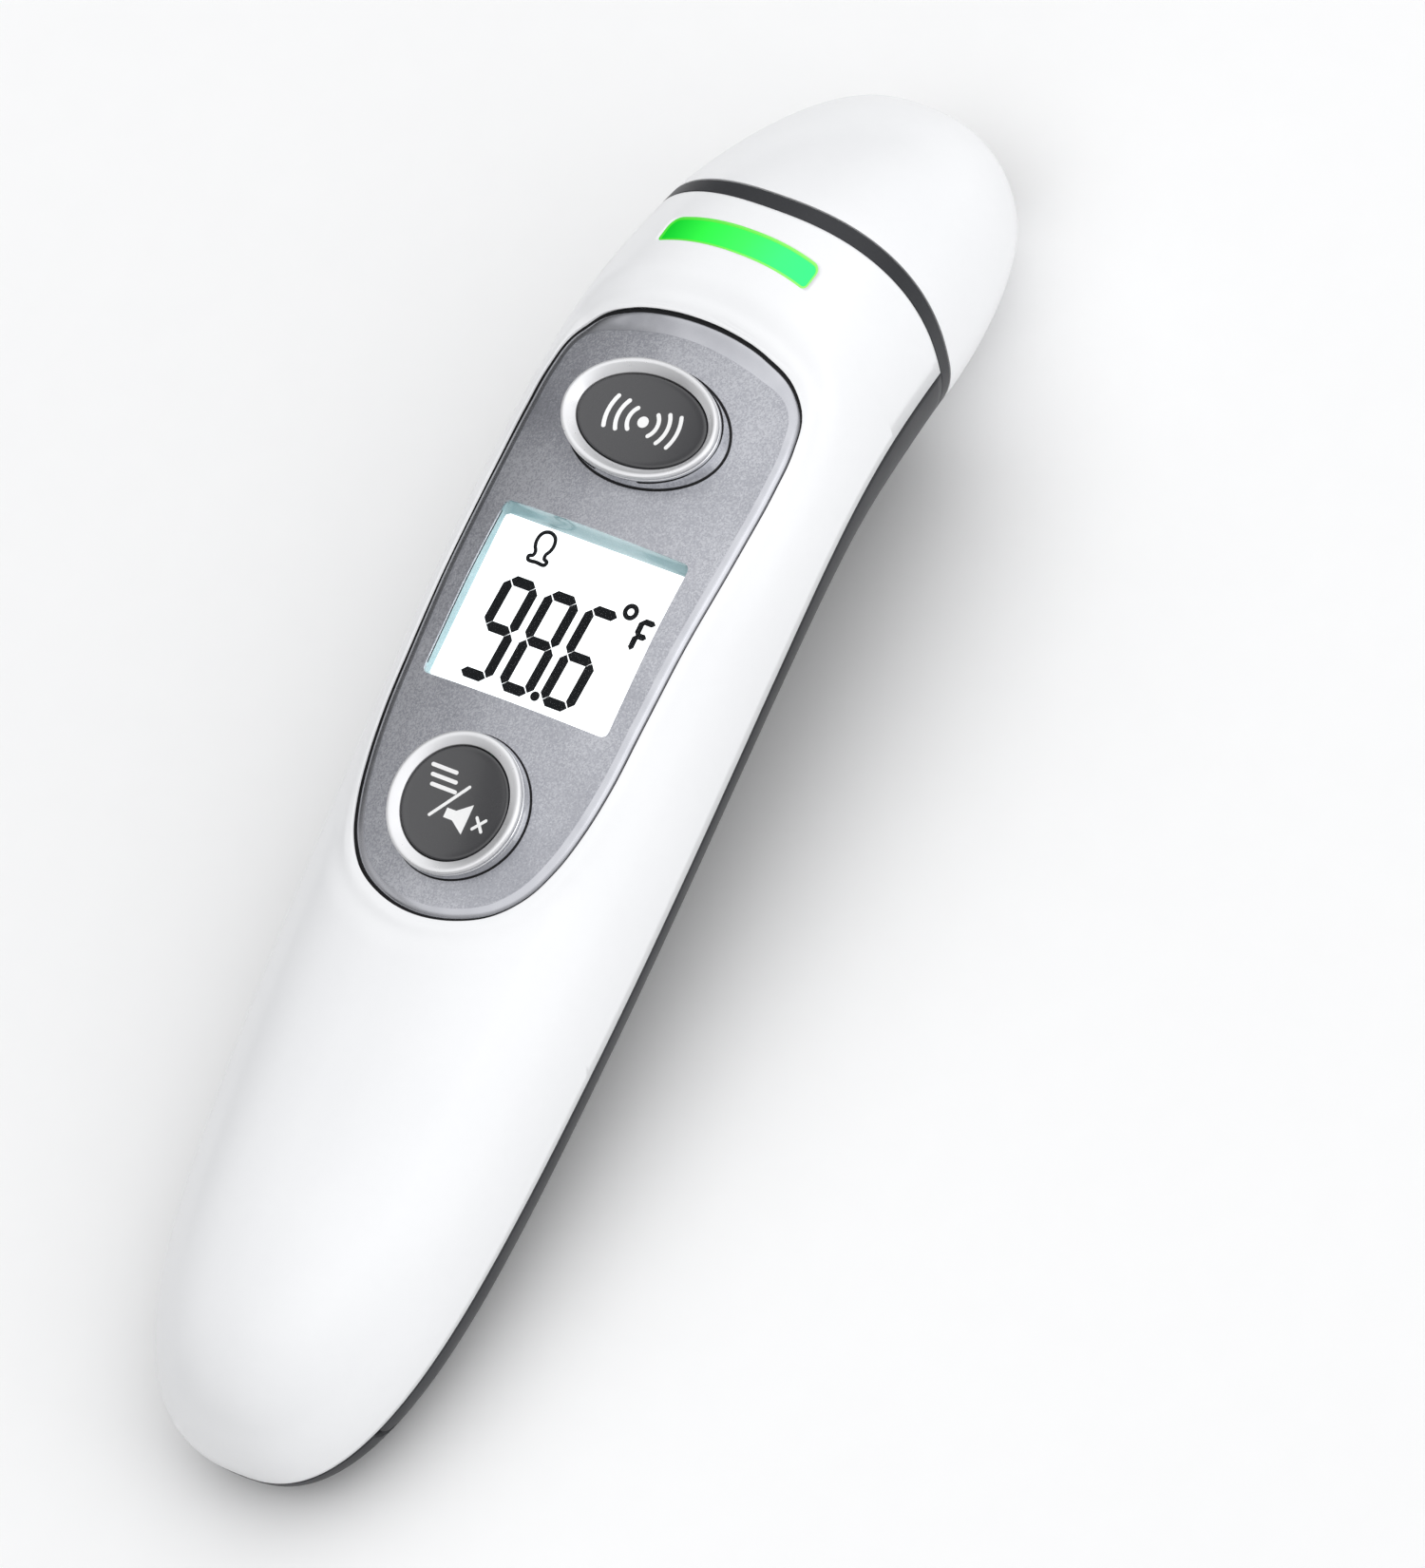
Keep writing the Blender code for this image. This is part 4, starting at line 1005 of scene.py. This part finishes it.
def key_top(name, at, half, up, body, replaced):
    plane, surface = key_surface(at, half, up)
    t = around(120)
    edge = [(0.0, -1.2), *arc(-KEY_ROUND, up - KEY_ROUND, KEY_ROUND, 0, 90, 5)]
    loops = oval_loops(plane, edge, half)
    for share in (0.93, 0.85, 0.7, 0.5, 0.3, 0.12):
        loops.append(surface(half[0] * share * np.cos(t), half[1] * share * np.sin(t)))
    make(name, *loft(loops), KEY, body, "key_grey", (replaced,))


key_ring("ring_mode", MODE_AT, MODE_R, MODE_UP, MODE_CREST, MODE_WIDE, 0.0, "mode_button_ring")
key_ring("ring_scan", SCAN_AT, SCAN_R, SCAN_UP, SCAN_CREST, SCAN_WIDE, 0.12, "scan_button_ring")
key_top("key_mode", MODE_AT, MODE_R, MODE_UP, "mode_key", "mode_button")
key_top("key_scan", SCAN_AT, SCAN_R, SCAN_UP, "scan_key", "scan_button")
# Sensing sign: a spot with waves on both sides.
scan_shapes = [ellipse(0.62, 0.62, 32)]
for radius, reach in ((1.75, 44), (3.0, 33), (4.25, 24)):
    for facing in (0, 180):
        scan_shapes.append(stroke(arc(0, 0, radius, facing - reach, facing + reach, 24), 0.46))
# Memory list, slash, speaker and cross.
mode_shapes = [stroke([(-4.15 + 0.35 * k, 2.95 - 0.95 * k), (-1.35 + 0.35 * k, 2.95 - 0.95 * k)], 0.42)
               for k in range(3)]
mode_shapes.append(stroke([(-2.3, -1.95), (0.7, 2.05)], 0.34))
mode_shapes.append(np.array([(-0.75, -0.65), (0.35, -0.65), (2.0, 0.5), (2.0, -2.75), (0.35, -1.7),
                             (-0.75, -1.7)])[::-1])
for way in (1, -1):
    mode_shapes.append(stroke([(2.95, -1.2 - 0.62 * way), (4.1, -1.2 + 0.62 * way)], 0.34))
for name, shapes, at, half, up, body in (
        ("sign_scan", scan_shapes, SCAN_AT, SCAN_R, SCAN_UP, "scan_key"),
        ("sign_mode", mode_shapes, MODE_AT, MODE_R, MODE_UP, "mode_key")):
    surface = key_surface(at, half, up)[1]
    make(name, *marks(shapes, lambda x, y, z: surface(x, y, MARK_UP + z), SIGN_THICK, 0.5), INK,
         body, "key_grey")

# ---------------------------------------------------------------- status light
def skin_at(sunk):
    """The surface a depth under the front skin, as (x, station) to point."""
    return lambda x, s: place(x, s, front_height(x, s) - sunk)


make("light_bar", *slab(lens_outline(-LENS_GAP), [], skin_at(0.16), skin_at(1.7), 0.6), GREEN,
     "thermometer", "green_lens", ("status_light_lens",))
# Outward, depth.
EDGE = [(-0.14, 0.9), (-0.14, 0.14), (-0.08, 0.04), (0.02, 0.01), (0.1, 0.03), (0.1, 0.9)]
make("light_edge", *loft([skin_at(depth)(*lens_outline(out).T) for out, depth in EDGE], ring=True),
     LIME, "thermometer", "green_lens")

# ---------------------------------------------------------------- finishes of the inner parts
NODE_LOOKS = {
    BOARD: ("main_board", "sensor_board"),
    BLACK: ("main_chip", "memory_chip", "buzzer", "cap_sensor", "scan_plunger", "mode_plunger",
            "lcd_connector"),
    STEEL: ("cap_magnet", "thermopile", "scan_switch", "mode_switch", "capacitor",
            "battery_spring_1", "battery_spring_2", "contact_link", "contact_positive",
            "contact_negative") + tuple("board_screw_%d" % k for k in range(1, 5)),
    INNER: ("lcd_holder", "sensor_sleeve", "sensor_holder", "battery_tray"),
    GOLD: ("waveguide",),
    FILM: ("sensor_cable",),
    CLEAR: ("probe_window",),
    DISPLAY: ("lcd_backlight", "light_guide", "status_led"),
    SLEEVE: ("battery_1", "battery_2"),
}
for look, names in NODE_LOOKS.items():
    for name in names:
        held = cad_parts[name].data.materials
        held.clear()
        held.append(look)

# ---------------------------------------------------------------- floor, light and camera
FLOOR_REACH = 3.0
LIGHT_AIM = Vector((0.0, 0.0, 0.015))
SKY_WAY, SKY_GREYS, SKY_STRENGTH = (0.35, 0.1, 0.8), ((0.0, 0.14), (0.2, 0.5), (0.8, 0.97)), 0.95


def stage_floor():
    reach = FLOOR_REACH
    mesh = bpy.data.meshes.new("floor")
    mesh.from_pydata([(-reach, -reach, 0), (reach, -reach, 0), (reach, reach, 0), (-reach, reach, 0)],
                     [], [(0, 1, 2, 3)])
    mesh.materials.append(moulded("pale_floor", (0.90, 0.90, 0.90), (0.93, 0.93, 0.93), (0.6, 0.7),
                                  grain=200.0, grain_depth=0.02, blotch=4.0))
    floor = bpy.data.objects.new("floor", mesh)
    bpy.context.scene.collection.objects.link(floor)


def soft_light(name, where, size, power):
    light = bpy.data.lights.new(name, "AREA")
    light.shape = "RECTANGLE"
    light.size, light.size_y = size
    light.energy = power
    lamp = bpy.data.objects.new(name, light)
    lamp.location = where
    lamp.rotation_euler = (Vector(where) - LIGHT_AIM).to_track_quat("Z", "Y").to_euler()
    bpy.context.scene.collection.objects.link(lamp)


def surroundings():
    """A pale sky, darker towards the left and the horizon, which the metal parts reflect."""
    world = bpy.data.worlds.new("studio")
    world.use_nodes = True
    tree = world.node_tree
    where = tree.nodes.new("ShaderNodeTexCoord")
    part = tree.nodes.new("ShaderNodeVectorMath")
    part.operation = "DOT_PRODUCT"
    part.inputs[1].default_value = SKY_WAY
    ramp = tree.nodes.new("ShaderNodeValToRGB")
    tree.links.new(where.outputs["Generated"], part.inputs[0])
    tree.links.new(part.outputs["Value"], ramp.inputs["Fac"])
    line = ramp.color_ramp.elements
    line.new(1.0)
    for element, (at, grey) in zip(line, SKY_GREYS):
        element.position, element.color = at, (grey, 1.005 * grey, 1.015 * grey, 1.0)
    tree.links.new(ramp.outputs["Color"], tree.nodes["Background"].inputs["Color"])
    tree.nodes["Background"].inputs["Strength"].default_value = SKY_STRENGTH
    bpy.context.scene.world = world


stage_floor()
soft_light("overhead", (0.0, 0.25, 0.85), (1.3, 1.9), 4.1)
soft_light("right_side", (0.9, 0.1, 0.5), (0.6, 1.4), 2.3)
soft_light("left_side", (-0.9, -0.3, 0.35), (0.5, 1.0), 0.7)
surroundings()
bpy.context.scene.view_settings.view_transform = "Standard"

# The camera: the frame's height where it aims, its lens, and its turn in degrees.
FRAME_TALL = 157.143 * MM
LENS, SENSOR = 500.0, 36.0
CAMERA_TURN = (26.953, 21.051, 29.704)
AIM = Vector((19.109, 2.214, 20.288)) * MM
camera = bpy.data.objects.new("camera", bpy.data.cameras.new("camera"))
camera.data.lens, camera.data.sensor_width = LENS, SENSOR
turn = Euler([math.radians(v) for v in CAMERA_TURN])
camera.rotation_euler = turn
camera.location = AIM + turn.to_matrix() @ Vector((0, 0, FRAME_TALL * LENS / SENSOR))
camera.data.clip_start, camera.data.clip_end = 0.1, 20.0
bpy.context.scene.collection.objects.link(camera)
bpy.context.scene.camera = camera
